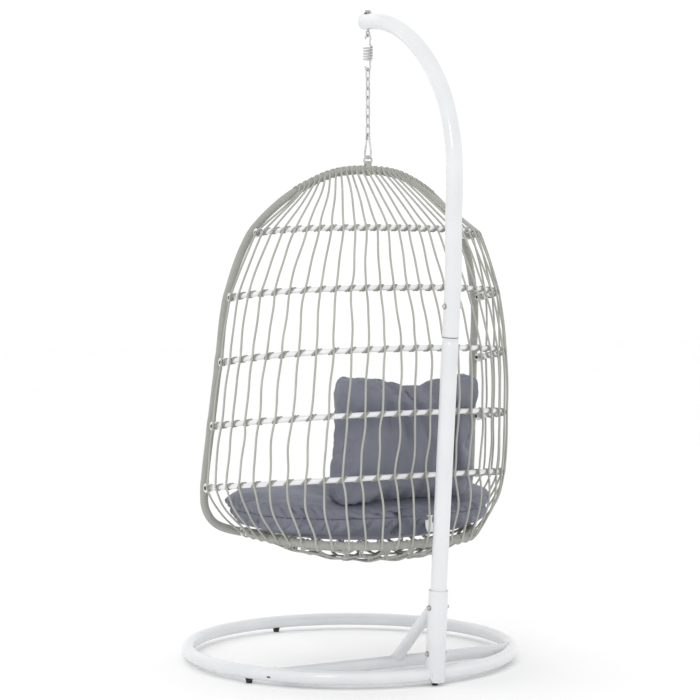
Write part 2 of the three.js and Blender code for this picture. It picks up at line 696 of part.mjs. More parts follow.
buildBaseRing();
buildCrossTube();
buildSocket();
buildBrace();
buildLowerPole();
buildUpperPole();
buildFeet();
SOCKET_BOLTS_Z.forEach((z, index) => buildCrossBolt(`socket_${index + 1}`, polePoint(z), SOCKET_OUTER));
buildCrossBolt('pole_joint', polePoint(JOINT_BOLT_Z), POLE_TUBE);
buildEyeBolt();
buildSpring();
buildChain();
buildSnapHook();
buildHangerRing();
buildFrontFrame();
buildFrameWrap();
HOOPS.forEach((spec, index) => buildHoop(`hoop_${index + 1}`, spec, HOOP_TUBE));
buildHoop('seat_loop', SEAT, FRAME_TUBE);
buildSeatWrap();
buildPivotBolts();
buildRopeBands();
buildSeatNet();
buildCushions();
centreOnRow();

export default part;
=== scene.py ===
# Hanging egg chair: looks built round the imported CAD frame. Metres, +Z up, +Y behind the sitter.
import json
import math

import bpy
import numpy as np
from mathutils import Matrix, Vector
from mathutils.bvhtree import BVHTree


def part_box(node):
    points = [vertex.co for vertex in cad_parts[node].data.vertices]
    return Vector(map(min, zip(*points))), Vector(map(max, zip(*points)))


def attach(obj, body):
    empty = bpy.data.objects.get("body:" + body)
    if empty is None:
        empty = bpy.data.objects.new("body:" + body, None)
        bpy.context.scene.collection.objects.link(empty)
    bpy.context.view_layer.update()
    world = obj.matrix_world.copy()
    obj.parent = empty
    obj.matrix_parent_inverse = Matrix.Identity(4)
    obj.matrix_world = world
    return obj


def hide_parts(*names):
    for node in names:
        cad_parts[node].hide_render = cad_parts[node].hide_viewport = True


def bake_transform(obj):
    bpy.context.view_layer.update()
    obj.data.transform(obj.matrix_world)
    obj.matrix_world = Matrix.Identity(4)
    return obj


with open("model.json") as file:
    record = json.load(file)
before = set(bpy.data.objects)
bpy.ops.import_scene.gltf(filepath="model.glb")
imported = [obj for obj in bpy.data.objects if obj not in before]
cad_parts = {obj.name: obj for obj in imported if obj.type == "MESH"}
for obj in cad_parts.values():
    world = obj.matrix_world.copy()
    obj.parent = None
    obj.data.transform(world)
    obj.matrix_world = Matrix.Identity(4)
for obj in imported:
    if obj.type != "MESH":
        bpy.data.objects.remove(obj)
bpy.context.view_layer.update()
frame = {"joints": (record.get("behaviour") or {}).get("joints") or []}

JOINTS = {joint["name"]: joint for joint in frame["joints"]}
X, Y, Z = np.eye(3)

# ---- dimensions, the same as the CAD parts' ----
HANG_Y = JOINTS["swivel"]["pos_m"][1]
STAND_Y = (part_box("base_ring")[0][1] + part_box("base_ring")[1][1]) / 2
RING_R, RING_TUBE, RING_Z = 0.5, 0.02, 0.032
CROSS_Y, CROSS_TUBE = STAND_Y + 0.284, 0.019
POLE_TUBE, POLE_LEAN = 0.024, math.radians(4.8)
SOCKET_TUBE, SOCKET_BORE, SOCKET_TOP = 0.0285, 0.025, 0.276
SEAM_Z, JOINT_BOLT_Z, BEND_START_Z = 1.004, 1.092, 1.18
SOCKET_BOLTS_Z = (0.093, 0.227)
BRACE_TUBE, BRACE_HEAD_Z = 0.0165, 0.248
OVERLAP = 0.0015  # how far a welded tube's end runs into what it meets
ARM_BEND = [  # (distance behind the ring's middle, height)
    (0.597, 1.330), (0.602, 1.460), (0.592, 1.560), (0.558, 1.662), (0.500, 1.752),
    (0.420, 1.830), (0.318, 1.895), (0.220, 1.932), (0.150, 1.945), (0.096, 1.951),
]
NUT_SIDES = 24
VENT_AZIMUTH = math.radians(56)
HANG_TWIST = math.radians(11)
FRAME_TOP_Z, BASKET_LEAN = 1.501, math.radians(8)
FRAME_TUBE, WRAP_R, HOOP_TUBE = 0.0095, 0.0125, 0.008
FRAME_HALF = np.array([
    [0, 0, 0], [105, -1, -10], [199, -6, -48], [292, -14, -112], [375, -23, -209],
    [436, -26, -397], [450, -26, -584], [463, -26, -776], [473, -26, -964], [466, -26, -1032],
    [432, -26, -1080], [346, -26, -1112], [180, -26, -1130], [0, -26, -1134],
]) / 1000
HOOPS = [
    {"w": 0.366, "y": 0.008, "z": -0.196, "d": 0.217, "rise": 12.0, "power": 2.3},
    {"w": 0.436, "y": 0.0, "z": -0.390, "d": 0.312, "rise": 13.6, "power": 2.3},
    {"w": 0.452, "y": 0.0, "z": -0.584, "d": 0.395, "rise": 14.8, "power": 2.3},
    {"w": 0.468, "y": 0.0, "z": -0.776, "d": 0.418, "rise": 14.8, "power": 2.3},
    {"w": 0.477, "y": 0.0, "z": -0.964, "d": 0.421, "rise": 14.8, "power": 2.3},
]
SEAT = {"w": 0.346, "y": 0.0, "z": -1.106, "d": 0.440, "rise": 6.7, "power": 2.5}
PIVOTS = HOOPS + [SEAT]
SEAT_INDEX = len(HOOPS)
STRANDS = 28
FAN_HALF_X = 0.235
ARCH_COUNT = 1600
NET_SAG, NET_POWER, NET_PITCH, NET_WAVE = 0.072, 3, 0.062, 0.125
CORD_R = 0.0031
WANDER = (0.0025, 0.0036, 0.0036, 0.0036, 0.0055, 0.0095)  # sideways, one for each bay from the top
BULGE = (0, 0.003, 0.003, 0.003, 0.003, 0.020)  # outwards; the top bay bends in its own way
FLAT_CORD = (0.0034, 0.0015)
TUBE_OF = [HOOP_TUBE] * 5 + [WRAP_R]
WRAP_PITCH = 0.0045
FOLD_MID, FOLD_REACH = math.radians(47.28), 0.6
PAD_X, PAD_FRONT, PAD_BACK, PAD_THICK, PAD_Y = 0.414, 0.056, 0.366, 0.124, 0.034
PAD_LOW = WRAP_R + 0.001
TUCK_X = 0.028
CLOTH_FRAMES, CLOTH_VOXEL = 20, 0.006
PILLOW_X, PILLOW_Y, PILLOW_Z, PILLOW_DROP = 0.237, 0.068, 0.175, 0.022
PILLOW_FOLDS = [  # (where across, lean, depth, width, top, end), in half sizes but for the depth
    (-0.62, 0.05, 0.021, 0.045, 0.7, -0.8), (-0.84, -0.05, 0.008, 0.06, 0.9, -0.4),
    (0.86, 0.05, 0.007, 0.05, 0.1, -0.5), (0.32, 0.16, 0.008, 0.05, 1.1, 0.1),
    (0.05, 0.20, 0.010, 0.05, 1.1, -0.2), (-0.18, 0.24, 0.009, 0.05, 1.1, -0.3),
    (0.60, 0.10, 0.007, 0.06, 1.1, 0.2), (-0.40, 0.18, 0.007, 0.05, 1.1, 0.0),
    (0.15, -0.1, 0.006, 0.06, -0.1, -1.1), (-0.30, -0.15, 0.007, 0.05, 0.0, -1.1),
]
PILLOW_PUCKERS = [  # (where across, depth)
    (0.8, 0.007), (0.55, 0.005), (0.3, 0.007), (0.08, 0.005), (-0.18, 0.008), (-0.5, 0.006),
]
STRIPS = [  # sewn to the seat cushion: (name, angle round it, height, flat size, curl)
    ("care_label", 1.737, 0.064, (0.035, 0.055), 0.016),
    ("tie_tape_1", 1.800, 0.112, (0.010, 0.040), 0.012),
    ("tie_tape_2", 1.770, 0.108, (0.010, 0.040), 0.018),
]
CAMERA_AT = (2.967, STAND_Y + 5.284, 1.150)
CAMERA_TURN, CAMERA_PITCH, CAMERA_LENS = math.radians(29.32), math.radians(1.871), 100.9
LIGHTS = [  # (name, place, size, power), all aimed at LIGHT_AIM
    ("key", (3.4, 3.2, 3.4), 1.2, 30),
    ("side", (-3.4, 2.2, 2.0), 2.0, 5),
    ("front", (0.5, -3.5, 3.0), 3.0, 10),
]
LIGHT_AIM = (0, 0, 0.9)


# ---- camera ----
def make_camera():
    camera = bpy.data.objects.new("camera", bpy.data.cameras.new("camera"))
    bpy.context.collection.objects.link(camera)
    camera.location = CAMERA_AT
    level = math.cos(CAMERA_PITCH)
    look = Vector((-math.sin(CAMERA_TURN) * level, -math.cos(CAMERA_TURN) * level, -math.sin(CAMERA_PITCH)))
    camera.rotation_euler = look.to_track_quat("-Z", "Y").to_euler()
    camera.data.lens = CAMERA_LENS
    camera.data.sensor_width = 36
    camera.data.clip_end = 60
    bpy.context.scene.camera = camera


# ---- curves ----
def catmull(points, count, closed=False):
    """A centripetal Catmull-Rom curve through the points, evenly sampled by length."""
    p = np.asarray(points, float)
    if closed:
        p = np.vstack([p[-1], p, p[0], p[1]])
    else:
        p = np.vstack([2 * p[0] - p[1], p, 2 * p[-1] - p[-2]])
    out = []
    for a, b, c, d in zip(p[:-3], p[1:-2], p[2:-1], p[3:]):
        t0 = 0.0
        t1 = t0 + max(np.linalg.norm(b - a), 1e-9) ** 0.5
        t2 = t1 + max(np.linalg.norm(c - b), 1e-9) ** 0.5
        t3 = t2 + max(np.linalg.norm(d - c), 1e-9) ** 0.5
        t = np.linspace(t1, t2, 24, endpoint=False)[:, None]
        a1 = (t1 - t) / (t1 - t0) * a + (t - t0) / (t1 - t0) * b
        a2 = (t2 - t) / (t2 - t1) * b + (t - t1) / (t2 - t1) * c
        a3 = (t3 - t) / (t3 - t2) * c + (t - t2) / (t3 - t2) * d
        b1 = (t2 - t) / (t2 - t0) * a1 + (t - t0) / (t2 - t0) * a2
        b2 = (t3 - t) / (t3 - t1) * a2 + (t - t1) / (t3 - t1) * a3
        out.append((t2 - t) / (t2 - t1) * b1 + (t - t1) / (t2 - t1) * b2)
    out.append(p[-2][None])
    return resample(np.vstack(out), count, closed)


def resample(points, count, closed=False):
    steps = np.linalg.norm(np.diff(points, axis=0), axis=1)
    length = np.concatenate([[0], np.cumsum(steps)])
    at = np.linspace(0, length[-1], count, endpoint=not closed)
    return np.column_stack([np.interp(at, length, points[:, k]) for k in range(3)])


def unit(v):
    v = np.asarray(v, float)
    return v / np.maximum(np.linalg.norm(v, axis=-1, keepdims=True), 1e-12)


def curve_axes(points, closed, ref):
    """Tangent and two normals at each point; the first normal stays as near ref as it can."""
    if closed:
        tangent = unit(np.roll(points, -1, 0) - np.roll(points, 1, 0))
    else:
        tangent = unit(np.gradient(points, axis=0))
    ref = np.broadcast_to(np.asarray(ref, float), points.shape)
    first = unit(ref - (ref * tangent).sum(1, keepdims=True) * tangent)
    return tangent, first, np.cross(tangent, first)


def sweep(points, radius, sides, closed=False, ref=Y):
    """A tube as (vertices, faces, corner UVs); radius is a number or an array (points, sides)."""
    points = np.asarray(points, float)
    count = len(points)
    _, first, second = curve_axes(points, closed, ref)
    angle = np.linspace(0, 2 * np.pi, sides, endpoint=False)
    radius = np.broadcast_to(np.asarray(radius, float), (count, sides)) if np.ndim(radius) != 1 \
        else np.repeat(np.asarray(radius)[:, None], sides, 1)
    ring = first[:, None] * np.cos(angle)[None, :, None] + second[:, None] * np.sin(angle)[None, :, None]
    vertices = (points[:, None] + ring * radius[..., None]).reshape(-1, 3)
    length = np.concatenate([[0], np.cumsum(np.linalg.norm(np.diff(points, axis=0), axis=1))])
    rows = count if closed else count - 1
    i, j = np.meshgrid(np.arange(rows), np.arange(sides), indexing="ij")
    i2, j2 = (i + 1) % count, (j + 1) % sides
    faces = np.stack([i * sides + j, i * sides + j2, i2 * sides + j2, i2 * sides + j], -1).reshape(-1, 4)
    after = np.append(length[1:], length[-1] + length[1])[i]
    u0, u1 = j / sides, (j + 1) / sides
    uv = np.stack([np.stack([u0, length[i]], -1), np.stack([u1, length[i]], -1),
                   np.stack([u1, after], -1), np.stack([u0, after], -1)], -2).reshape(-1, 4, 2)
    faces, uv = faces.tolist(), uv.tolist()
    if not closed:
        for start, order in ((0, range(sides - 1, -1, -1)), ((count - 1) * sides, range(sides))):
            faces.append([start + k for k in order])
            uv.append([[0.5, 0.0]] * sides)
    return vertices, faces, uv


def oval(wide, thick, sides):
    """Radii of a flattened cord: wide along the sweep's first normal, thin along the second."""
    angle = np.linspace(0, 2 * np.pi, sides, endpoint=False)
    return 1 / np.sqrt((np.cos(angle) / wide) ** 2 + (np.sin(angle) / thick) ** 2)


def tube_faces(rows, sides, ends=True):
    """Quads between rows of points, sides points to a row, with a flat face at each end."""
    faces = []
    for base in range(0, (rows - 1) * sides, sides):
        for k in range(sides):
            n = (k + 1) % sides
            faces.append([base + k, base + n, base + sides + n, base + sides + k])
    if ends:
        faces.append(list(range(sides - 1, -1, -1)))
        faces.append([(rows - 1) * sides + k for k in range(sides)])
    return faces


def lathe(profile, origin, axis, sides=32):
    """Turns (radius, height) pairs about an axis; both ends lie on the axis."""
    axis = unit(axis)
    side = unit(np.cross(axis, X if abs(axis[0]) < 0.9 else Y))
    other = np.cross(axis, side)
    angle = np.linspace(0, 2 * np.pi, sides, endpoint=False)
    vertices = []
    for radius, height in profile:
        for a in angle:
            vertices.append(np.asarray(origin) + axis * height
                            + max(radius, 1e-5) * (side * math.cos(a) + other * math.sin(a)))
    return np.array(vertices), tube_faces(len(profile), sides), None


def merge(shapes):
    vertices, faces, uvs, base = [], [], [], 0
    for v, f, uv in shapes:
        vertices.append(np.asarray(v, float))
        faces.extend([[base + k for k in face] for face in f])
        uvs.extend(uv if uv is not None else [[[0.0, 0.0]] * len(face) for face in f])
        base += len(v)
    return np.vstack(vertices), faces, uvs


def piece(name, shapes, material, body=None, replaces=(), crisp=None):
    """One smooth-shaded object made of shapes; edges turning by more than crisp degrees stay hard."""
    vertices, faces, uvs = merge(shapes)
    mesh = bpy.data.meshes.new(name)
    mesh.from_pydata(vertices.tolist(), [], faces)
    layer = mesh.uv_layers.new(name="UVMap")
    layer.data.foreach_set("uv", np.array([c for face in uvs for c in face], float).ravel())
    mesh.materials.append(material)
    mesh.polygons.foreach_set("use_smooth", [True] * len(mesh.polygons))
    mesh.update()
    obj = bpy.data.objects.new(name, mesh)
    bpy.context.collection.objects.link(obj)
    if body:
        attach(obj, body)
    if replaces:
        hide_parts(*replaces)
    if crisp:
        sharpen(obj, crisp)
    return obj


def sharpen(obj, degrees):
    bpy.context.view_layer.objects.active = obj
    with bpy.context.temp_override(active_object=obj, selected_objects=[obj], object=obj,
                                   selected_editable_objects=[obj]):
        bpy.ops.object.shade_smooth_by_angle(angle=math.radians(degrees))


# ---- materials ----
class Nodes:
    """A small helper for building one procedural material."""

    def __init__(self, name):
        self.material = bpy.data.materials.new(name)
        self.material.use_nodes = True
        self.tree = self.material.node_tree
        self.shader = self.tree.nodes["Principled BSDF"]

    def add(self, kind, **values):
        node = self.tree.nodes.new(kind)
        for key, value in values.items():
            if key in node.inputs:
                node.inputs[key].default_value = value
            else:
                setattr(node, key.lower(), value)
        return node

    def link(self, out, into):
        self.tree.links.new(out, into)

    def surface(self, colour, rough, normal, **values):
        """Links the three outputs to the shader, sets its other values and returns the material."""
        for name, out in (("Base Color", colour), ("Roughness", rough), ("Normal", normal)):
            self.link(out, self.shader.inputs[name])
        for key, value in values.items():
            self.shader.inputs[key.replace("_", " ")].default_value = value
        return self.material

    def noise(self, scale, detail):
        node = self.add("ShaderNodeTexNoise", Scale=scale, Detail=detail)
        self.link(self.add("ShaderNodeTexCoord").outputs["Object"], node.inputs["Vector"])
        return node.outputs["Fac"]

    def ramp(self, factor, low, high, start=0.3, end=0.7):
        node = self.tree.nodes.new("ShaderNodeValToRGB")
        node.color_ramp.elements[0].position = start
        node.color_ramp.elements[0].color = (*low, 1)
        node.color_ramp.elements[1].position = end
        node.color_ramp.elements[1].color = (*high, 1)
        self.link(factor, node.inputs["Fac"])
        return node.outputs["Color"]

    def span(self, factor, low, high):
        node = self.add("ShaderNodeMapRange")
        node.inputs["To Min"].default_value = low
        node.inputs["To Max"].default_value = high
        self.link(factor, node.inputs["Value"])
        return node.outputs["Result"]

    def math(self, operation, a, b=None):
        node = self.tree.nodes.new("ShaderNodeMath")
        node.operation = operation
        for socket, value in zip(node.inputs, (a, b)):
            if value is None:
                continue
            if isinstance(value, (int, float)):
                socket.default_value = value
            else:
                self.link(value, socket)
        return node.outputs[0]

    def bump(self, height, strength, distance, normal=None):
        node = self.add("ShaderNodeBump", Strength=strength, Distance=distance)
        self.link(height, node.inputs["Height"])
        if normal:
            self.link(normal, node.inputs["Normal"])
        return node.outputs["Normal"]

    def uv(self):
        split = self.add("ShaderNodeSeparateXYZ")
        self.link(self.add("ShaderNodeUVMap").outputs["UV"], split.inputs["Vector"])
        return split.outputs["X"], split.outputs["Y"]


def paint_material(name, low, high):
    """Gloss powder coat: faint mottle in colour and gloss, orange-peel bump."""
    n = Nodes(name)
    return n.surface(n.ramp(n.noise(9, 4), low, high), n.span(n.noise(40, 3), 0.17, 0.27),
                     n.bump(n.noise(420, 2), 0.06, 0.0006), Coat_Weight=0.5, Coat_Roughness=0.07)


def metal_material(name, low, high, rough, metallic=1.0):
    """Plated steel: cloudy colour and gloss, fine grain."""
    n = Nodes(name)
    return n.surface(n.ramp(n.noise(60, 5), low, high), n.span(n.noise(180, 4), *rough),
                     n.bump(n.noise(900, 3), 0.12, 0.0004), Metallic=metallic)


def cord_material(name, low, high):
    """Braided synthetic cord: diagonal strands crossing both ways, painted shade a little darker in the
    grooves between them, flecks of light and dark.
    """
    n = Nodes(name)
    lay, around = 0.0052, 2
    u, v = n.uv()
    turns = n.math("MULTIPLY", v, 2 * math.pi / lay)
    spin = n.math("MULTIPLY", u, 2 * math.pi * around)
    right = n.math("SINE", n.math("ADD", turns, spin))
    left = n.math("SINE", n.math("SUBTRACT", turns, spin))
    braid_relief_and_shade = n.math("MAXIMUM", right, left)
    fleck = n.noise(700, 3)
    mottle = n.noise(14, 3)
    # the braid term paints shade into the colour: a little darker in the grooves between strands
    tone = n.math("ADD", n.math("MULTIPLY", braid_relief_and_shade, 0.09), n.math("ADD", n.math("MULTIPLY", fleck, 0.35),
                                                              n.math("MULTIPLY", mottle, 0.55)))
    colour = n.ramp(tone, low, high, 0.25, 0.75)
    rough = n.span(fleck, 0.72, 0.9)
    fine = n.bump(n.noise(1600, 2), 0.25, 0.0003)
    return n.surface(colour, rough, n.bump(braid_relief_and_shade, 0.55, 0.0006, fine), Sheen_Weight=0.12, Sheen_Roughness=0.5)


def wound_material(name, low, high, pitch):
    """Cord wound close round a tube: each turn a rounded ridge, with painted shade darkening the valley
    between turns.
    """
    n = Nodes(name)
    u, v = n.uv()
    phase = n.math("MULTIPLY", n.math("ADD", v, n.math("MULTIPLY", u, pitch)), 2 * math.pi / pitch)
    ridge = n.math("ABSOLUTE", n.math("SINE", n.math("MULTIPLY", phase, 0.5)))
    ridge_height_and_valley_shade = n.math("POWER", ridge, 0.45)
    fibre = n.math("SINE", n.math("ADD", n.math("MULTIPLY", u, 2 * math.pi * 46), phase))
    mottle = n.noise(16, 4)
    fleck = n.noise(900, 2)
    # the ridge term paints shade into the colour: darker in the valleys between turns
    tone = n.math("ADD", n.math("MULTIPLY", ridge_height_and_valley_shade, 0.42),
                  n.math("ADD", n.math("MULTIPLY", mottle, 0.34), n.math("MULTIPLY", fleck, 0.24)))
    colour = n.ramp(tone, low, high, 0.2, 0.85)
    rough = n.span(fleck, 0.7, 0.88)
    fine = n.bump(n.math("ADD", fibre, fleck), 0.2, 0.0002)
    normal = n.bump(ridge_height_and_valley_shade, 0.7, 0.0009, fine)
    return n.surface(colour, rough, normal, Sheen_Weight=0.1, Sheen_Roughness=0.5)


def cloth_material(name, low, high):
    """Polyester canvas: plain weave, soft mottling and a little sheen."""
    n = Nodes(name)
    split = n.add("ShaderNodeSeparateXYZ")
    n.link(n.add("ShaderNodeTexCoord").outputs["Object"], split.inputs["Vector"])
    threads = 2 * math.pi / 0.0016
    weave = None
    for axis in ("X", "Y", "Z"):
        wave = n.math("SINE", n.math("MULTIPLY", split.outputs[axis], threads))
        weave = wave if weave is None else n.math("ADD", weave, wave)
    cloud = n.noise(7, 4)
    grain = n.noise(650, 3)
    tone = n.math("ADD", n.math("MULTIPLY", cloud, 0.7), n.math("MULTIPLY", grain, 0.3))
    colour = n.ramp(tone, low, high)
    rough = n.span(grain, 0.62, 0.8)
    crumple = n.bump(n.noise(24, 5), 0.5, 0.008)
    normal = n.bump(weave, 0.16, 0.0002, crumple)
    return n.surface(colour, rough, normal, Sheen_Weight=0.2, Sheen_Roughness=0.4,
                     Sheen_Tint=(0.75, 0.78, 0.9, 1))


def plain_material(name, low, high, rough, bump_scale=300):
    n = Nodes(name)
    return n.surface(n.ramp(n.noise(25, 4), low, high), n.span(n.noise(120, 3), *rough),
                     n.bump(n.noise(bump_scale, 3), 0.15, 0.0005))


PAINT = paint_material("stand_paint", (0.70, 0.71, 0.73), (0.75, 0.76, 0.775))
HOOP_PAINT = paint_material("basket_paint", (0.76, 0.765, 0.775), (0.82, 0.823, 0.83))
NICKEL = metal_material("nickel", (0.42, 0.40, 0.37), (0.62, 0.60, 0.56), (0.2, 0.36))
ZINC = metal_material("zinc", (0.46, 0.47, 0.48), (0.64, 0.645, 0.65), (0.28, 0.42), 0.45)
CORD = cord_material("cord", (0.35, 0.35, 0.315), (0.53, 0.53, 0.485))
CORD_SHADED = cord_material("cord_turns", (0.27, 0.27, 0.245), (0.45, 0.45, 0.41))
WOUND = wound_material("wound_cord", (0.22, 0.22, 0.20), (0.46, 0.46, 0.43), WRAP_PITCH)
CLOTH = cloth_material("cushion_cloth", (0.150, 0.157, 0.196), (0.205, 0.213, 0.258))
# seam thread, coloured darker than the cloth as painted shade of the seam's crease
SEAM_THREAD_AND_SHADE = plain_material("seam_thread_and_shade", (0.05, 0.054, 0.075), (0.08, 0.085, 0.11), (0.7, 0.85))
RUBBER = plain_material("rubber", (0.012, 0.012, 0.013), (0.03, 0.03, 0.032), (0.6, 0.8))
PLASTIC = plain_material("pivot_plastic", (0.78, 0.78, 0.78), (0.85, 0.85, 0.86), (0.35, 0.5))
DARK = metal_material("dark_steel", (0.05, 0.045, 0.04), (0.14, 0.12, 0.10), (0.35, 0.5))
SHADOW = plain_material("shadow_gap", (0.05, 0.05, 0.055), (0.09, 0.09, 0.095), (0.8, 0.9))
LABEL = plain_material("label_cloth", (0.74, 0.74, 0.74), (0.82, 0.82, 0.82), (0.7, 0.85), 900)


# ---- stand ----
def pole_point(z):
    return np.array([0, STAND_Y + RING_R + (z - RING_Z) * math.tan(POLE_LEAN), z])


def ring_points(count, radius=RING_R):
    angle = np.linspace(0, 2 * np.pi, count, endpoint=False)
    return np.column_stack([radius * np.sin(angle), STAND_Y + radius * np.cos(angle),
                            np.full(count, RING_Z)])


def hit_loop(origin, direction, radius, surface, reach=0.12):
    """Where a tube's outline, sent along a direction from origin, meets a surface given by its distance
    function: one point, a little way inside, for each of the outline's 40 generators."""
    direction = unit(direction)
    side = unit(np.cross(direction, Z if abs(direction[2]) < 0.9 else X))
    other = np.cross(direction, side)
    loop = []
    for a in np.linspace(0, 2 * np.pi, 40, endpoint=False):
        start = origin + radius * (side * math.cos(a) + other * math.sin(a))
        steps = np.linspace(0, reach, 500)
        away = np.array([surface(start + direction * s) for s in steps])
        inside = np.nonzero(away <= 0)[0]
        at = steps[inside[0]] if len(inside) else reach
        loop.append(start + direction * (at + OVERLAP))
    return np.array(loop)


def ring_distance(p):
    flat = math.hypot(p[0], p[1] - STAND_Y) - RING_R
    return math.hypot(flat, p[2] - RING_Z) - RING_TUBE


def line_distance(a, b, radius):
    axis = unit(b - a)

    def distance(p):
        away = p - a
        return np.linalg.norm(away - (away @ axis) * axis) - radius
    return distance


def bead(loop, size=0.003):
    """A weld bead along a closed loop, with the ripples of its run."""
    points = resample(np.vstack([loop, loop[:1]]), 150, closed=True)
    ripple = size * (1 + 0.16 * np.sin(np.arange(150) * 2 * np.pi / 5))
    return sweep(points, ripple, 8, closed=True, ref=Z + 0.3 * X)


def cut_tube(loop_a, loop_b, rows):
    """A tube between two outline loops that have matching generators."""
    sides = len(loop_a)
    blend = np.linspace(0, 1, rows)[:, None, None]
    vertices = (loop_a[None] * (1 - blend) + loop_b[None] * blend).reshape(-1, 3)
    return vertices, tube_faces(rows, sides), None


def end_to_end(near, far, direction):
    """A tube between two cut ends, pairing the generators that lie on the same line."""
    direction = unit(direction)
    flat = far - (far @ direction)[:, None] * direction
    paired = []
    for p in near:
        gap = np.linalg.norm(flat - (p - (p @ direction) * direction), axis=1)
        paired.append(far[np.argmin(gap)])
    return cut_tube(near, np.array(paired), 24)


def square_cut(loop, origin, direction):
    """The same generators where they cross the plane through origin."""
    direction = unit(direction)
    return np.array([p - ((p - origin) @ direction) * direction for p in loop])


def build_ring():
    piece("base_ring_tube", [sweep(ring_points(200), RING_TUBE, 28, closed=True, ref=Z)], PAINT, "stand",
          ["base_ring"])
    slot_at = ring_points(2000, RING_R + RING_TUBE - 0.0006)
    middle = int(2000 * VENT_AZIMUTH / (2 * np.pi))
    run = slot_at[middle - 3:middle + 4] - [0, 0, 0.004]
    piece("ring_vent", [sweep(run, 0.0024, 10, ref=Z)], SHADOW, "stand")


def build_cross_tube():
    half = math.sqrt(RING_R ** 2 - (CROSS_Y - STAND_Y) ** 2)
    ends, beads = [], []
    for side in (1, -1):
        origin = np.array([side * (half - 0.07), CROSS_Y, RING_Z])
        loop = hit_loop(origin, side * X, CROSS_TUBE, ring_distance)
        ends.append(loop)
        beads.append(bead(loop - side * X * OVERLAP))
    piece("cross_tube_body", [end_to_end(ends[1], ends[0], X)], PAINT, "stand", ["cross_tube"],
          crisp=50)
    return beads


def build_socket():
    lean = unit(pole_point(1) - pole_point(0))
    top = pole_point(SOCKET_TOP)
    low = hit_loop(pole_point(0.09), -lean, SOCKET_TUBE, ring_distance, reach=0.075)
    rim = square_cut(low, top, lean)
    socket = cut_tube(low, rim, 30)
    inner = top + (rim - top) * (SOCKET_BORE / SOCKET_TUBE)
    mouth = np.array([top + (rim - top) * 0.965 + lean * 0.0016, inner + lean * 0.0008, inner - lean * 0.02])
    lining = (np.vstack([rim, *mouth]), tube_faces(4, len(rim), ends=False), None)
    piece("socket_sleeve", [(socket[0], socket[1][:-1], None), lining], PAINT, "stand", ["pole_socket"],
          crisp=50)
    return [bead(low + lean * OVERLAP, 0.0034)]


def build_brace():
    cross_mid = np.array([0, CROSS_Y, RING_Z])
    foot = np.array([0, CROSS_Y - 0.006, RING_Z + 0.004])
    head = pole_point(BRACE_HEAD_Z)
    run = unit(head - foot)
    middle = (foot + head) / 2
    to_socket = line_distance(pole_point(0), pole_point(1), SOCKET_TUBE)
    to_cross = line_distance(cross_mid, cross_mid + X, CROSS_TUBE)
    upper = hit_loop(middle, run, BRACE_TUBE, to_socket, reach=0.2)
    lower = hit_loop(middle, -run, BRACE_TUBE, to_cross, reach=0.2)
    piece("brace_body", [end_to_end(lower, upper, run)], PAINT, "stand", ["brace_tube"],
          crisp=50)
    return [bead(upper - run * OVERLAP), bead(lower + run * OVERLAP)]


def build_base():
    build_ring()
    beads = build_cross_tube() + build_socket() + build_brace()
    piece("weld_beads", beads, PAINT, "stand")


def build_pole():
    low = np.array([pole_point(z) for z in np.linspace(0.058, SEAM_Z - 0.0008, 40)])
    lip = np.array([pole_point(SEAM_Z - 0.0008), pole_point(SEAM_Z + 0.0016)])
    radius = np.full(40, POLE_TUBE)
    radius[-1] = POLE_TUBE - 0.0008
    piece("lower_pole_tube", [sweep(low, radius, 40, ref=X)], PAINT, "stand", ["lower_pole"])
    piece("pole_seam", [sweep(lip, POLE_TUBE - 0.0012, 40, ref=X)], SHADOW, "stand")
    through = [pole_point(SEAM_Z + 0.0012), pole_point(JOINT_BOLT_Z), pole_point(BEND_START_Z)]
    through += [np.array([0, STAND_Y + y, z]) for y, z in ARM_BEND]
    path = catmull(through, 260)
    radius = np.full(260, POLE_TUBE)
    radius[0] = POLE_TUBE - 0.0008
    piece("upper_pole_tube", [sweep(path, radius, 40, ref=X)], PAINT, "stand", ["upper_pole"])
    tangent = unit(path[-1] - path[-2])
    dome = [(0.0, -0.004), (0.0243, -0.003), (0.0245, 0.0015), (0.0238, 0.006), (0.0205, 0.0105),
            (0.0150, 0.0142), (0.0080, 0.0164), (0.0, 0.0172)]
    piece("arm_cap", [lathe(dome, path[-1], tangent, 48)], PAINT, "stand", ["pole_end_cap"],
          crisp=60)


def hex_nut(origin, axis, across, height):
    """A hexagonal nut with chamfered corners."""
    corner = across / math.cos(math.pi / 6)
    axis = unit(axis)
    side = unit(np.cross(axis, X if abs(axis[0]) < 0.9 else Z))
    other = np.cross(axis, side)
    rows = [(0.93, 0.0), (1.0, 0.12), (1.0, 0.88), (0.93, 1.0), (0.55, 1.0)]
    vertices = []
    for scale, up in rows:
        for k in range(NUT_SIDES):
            a = 2 * np.pi * k / NUT_SIDES
            flat = across / math.cos((a + math.pi / 6) % (math.pi / 3) - math.pi / 6)
            r = min(flat, corner * 0.985) * scale
            vertices.append(origin + axis * height * up + r * (side * math.cos(a) + other * math.sin(a)))
    return np.array(vertices), tube_faces(len(rows), NUT_SIDES), None


def cross_bolt(name, centre, outer):
    washer = [(0.0, 0.0), (0.0085, 0.0), (0.0088, 0.0006), (0.0085, 0.0013), (0.0, 0.0013)]
    head = [(0.0, 0.0), (0.0062, 0.0), (0.0069, 0.001), (0.0066, 0.0026), (0.0052, 0.0044), (0.003, 0.0055),
            (0.0, 0.0059)]
    start = centre + X * outer
    shank = [(0.0, 0.0), (0.003, 0.0), (0.003, 0.0085), (0.0022, 0.0092), (0.0, 0.0092)]
    shapes = [lathe(washer, start, X), lathe(head, start + X * 0.0012, X)]
    far = centre - X * outer
    shapes += [lathe(washer, far, -X), lathe(shank, far, -X, 20),
               hex_nut(far - X * 0.0013, -X, 0.0052, 0.005)]
    piece(f"{name}_set", shapes, NICKEL, "stand", [f"{name}_bolt", f"{name}_nut"], crisp=32)


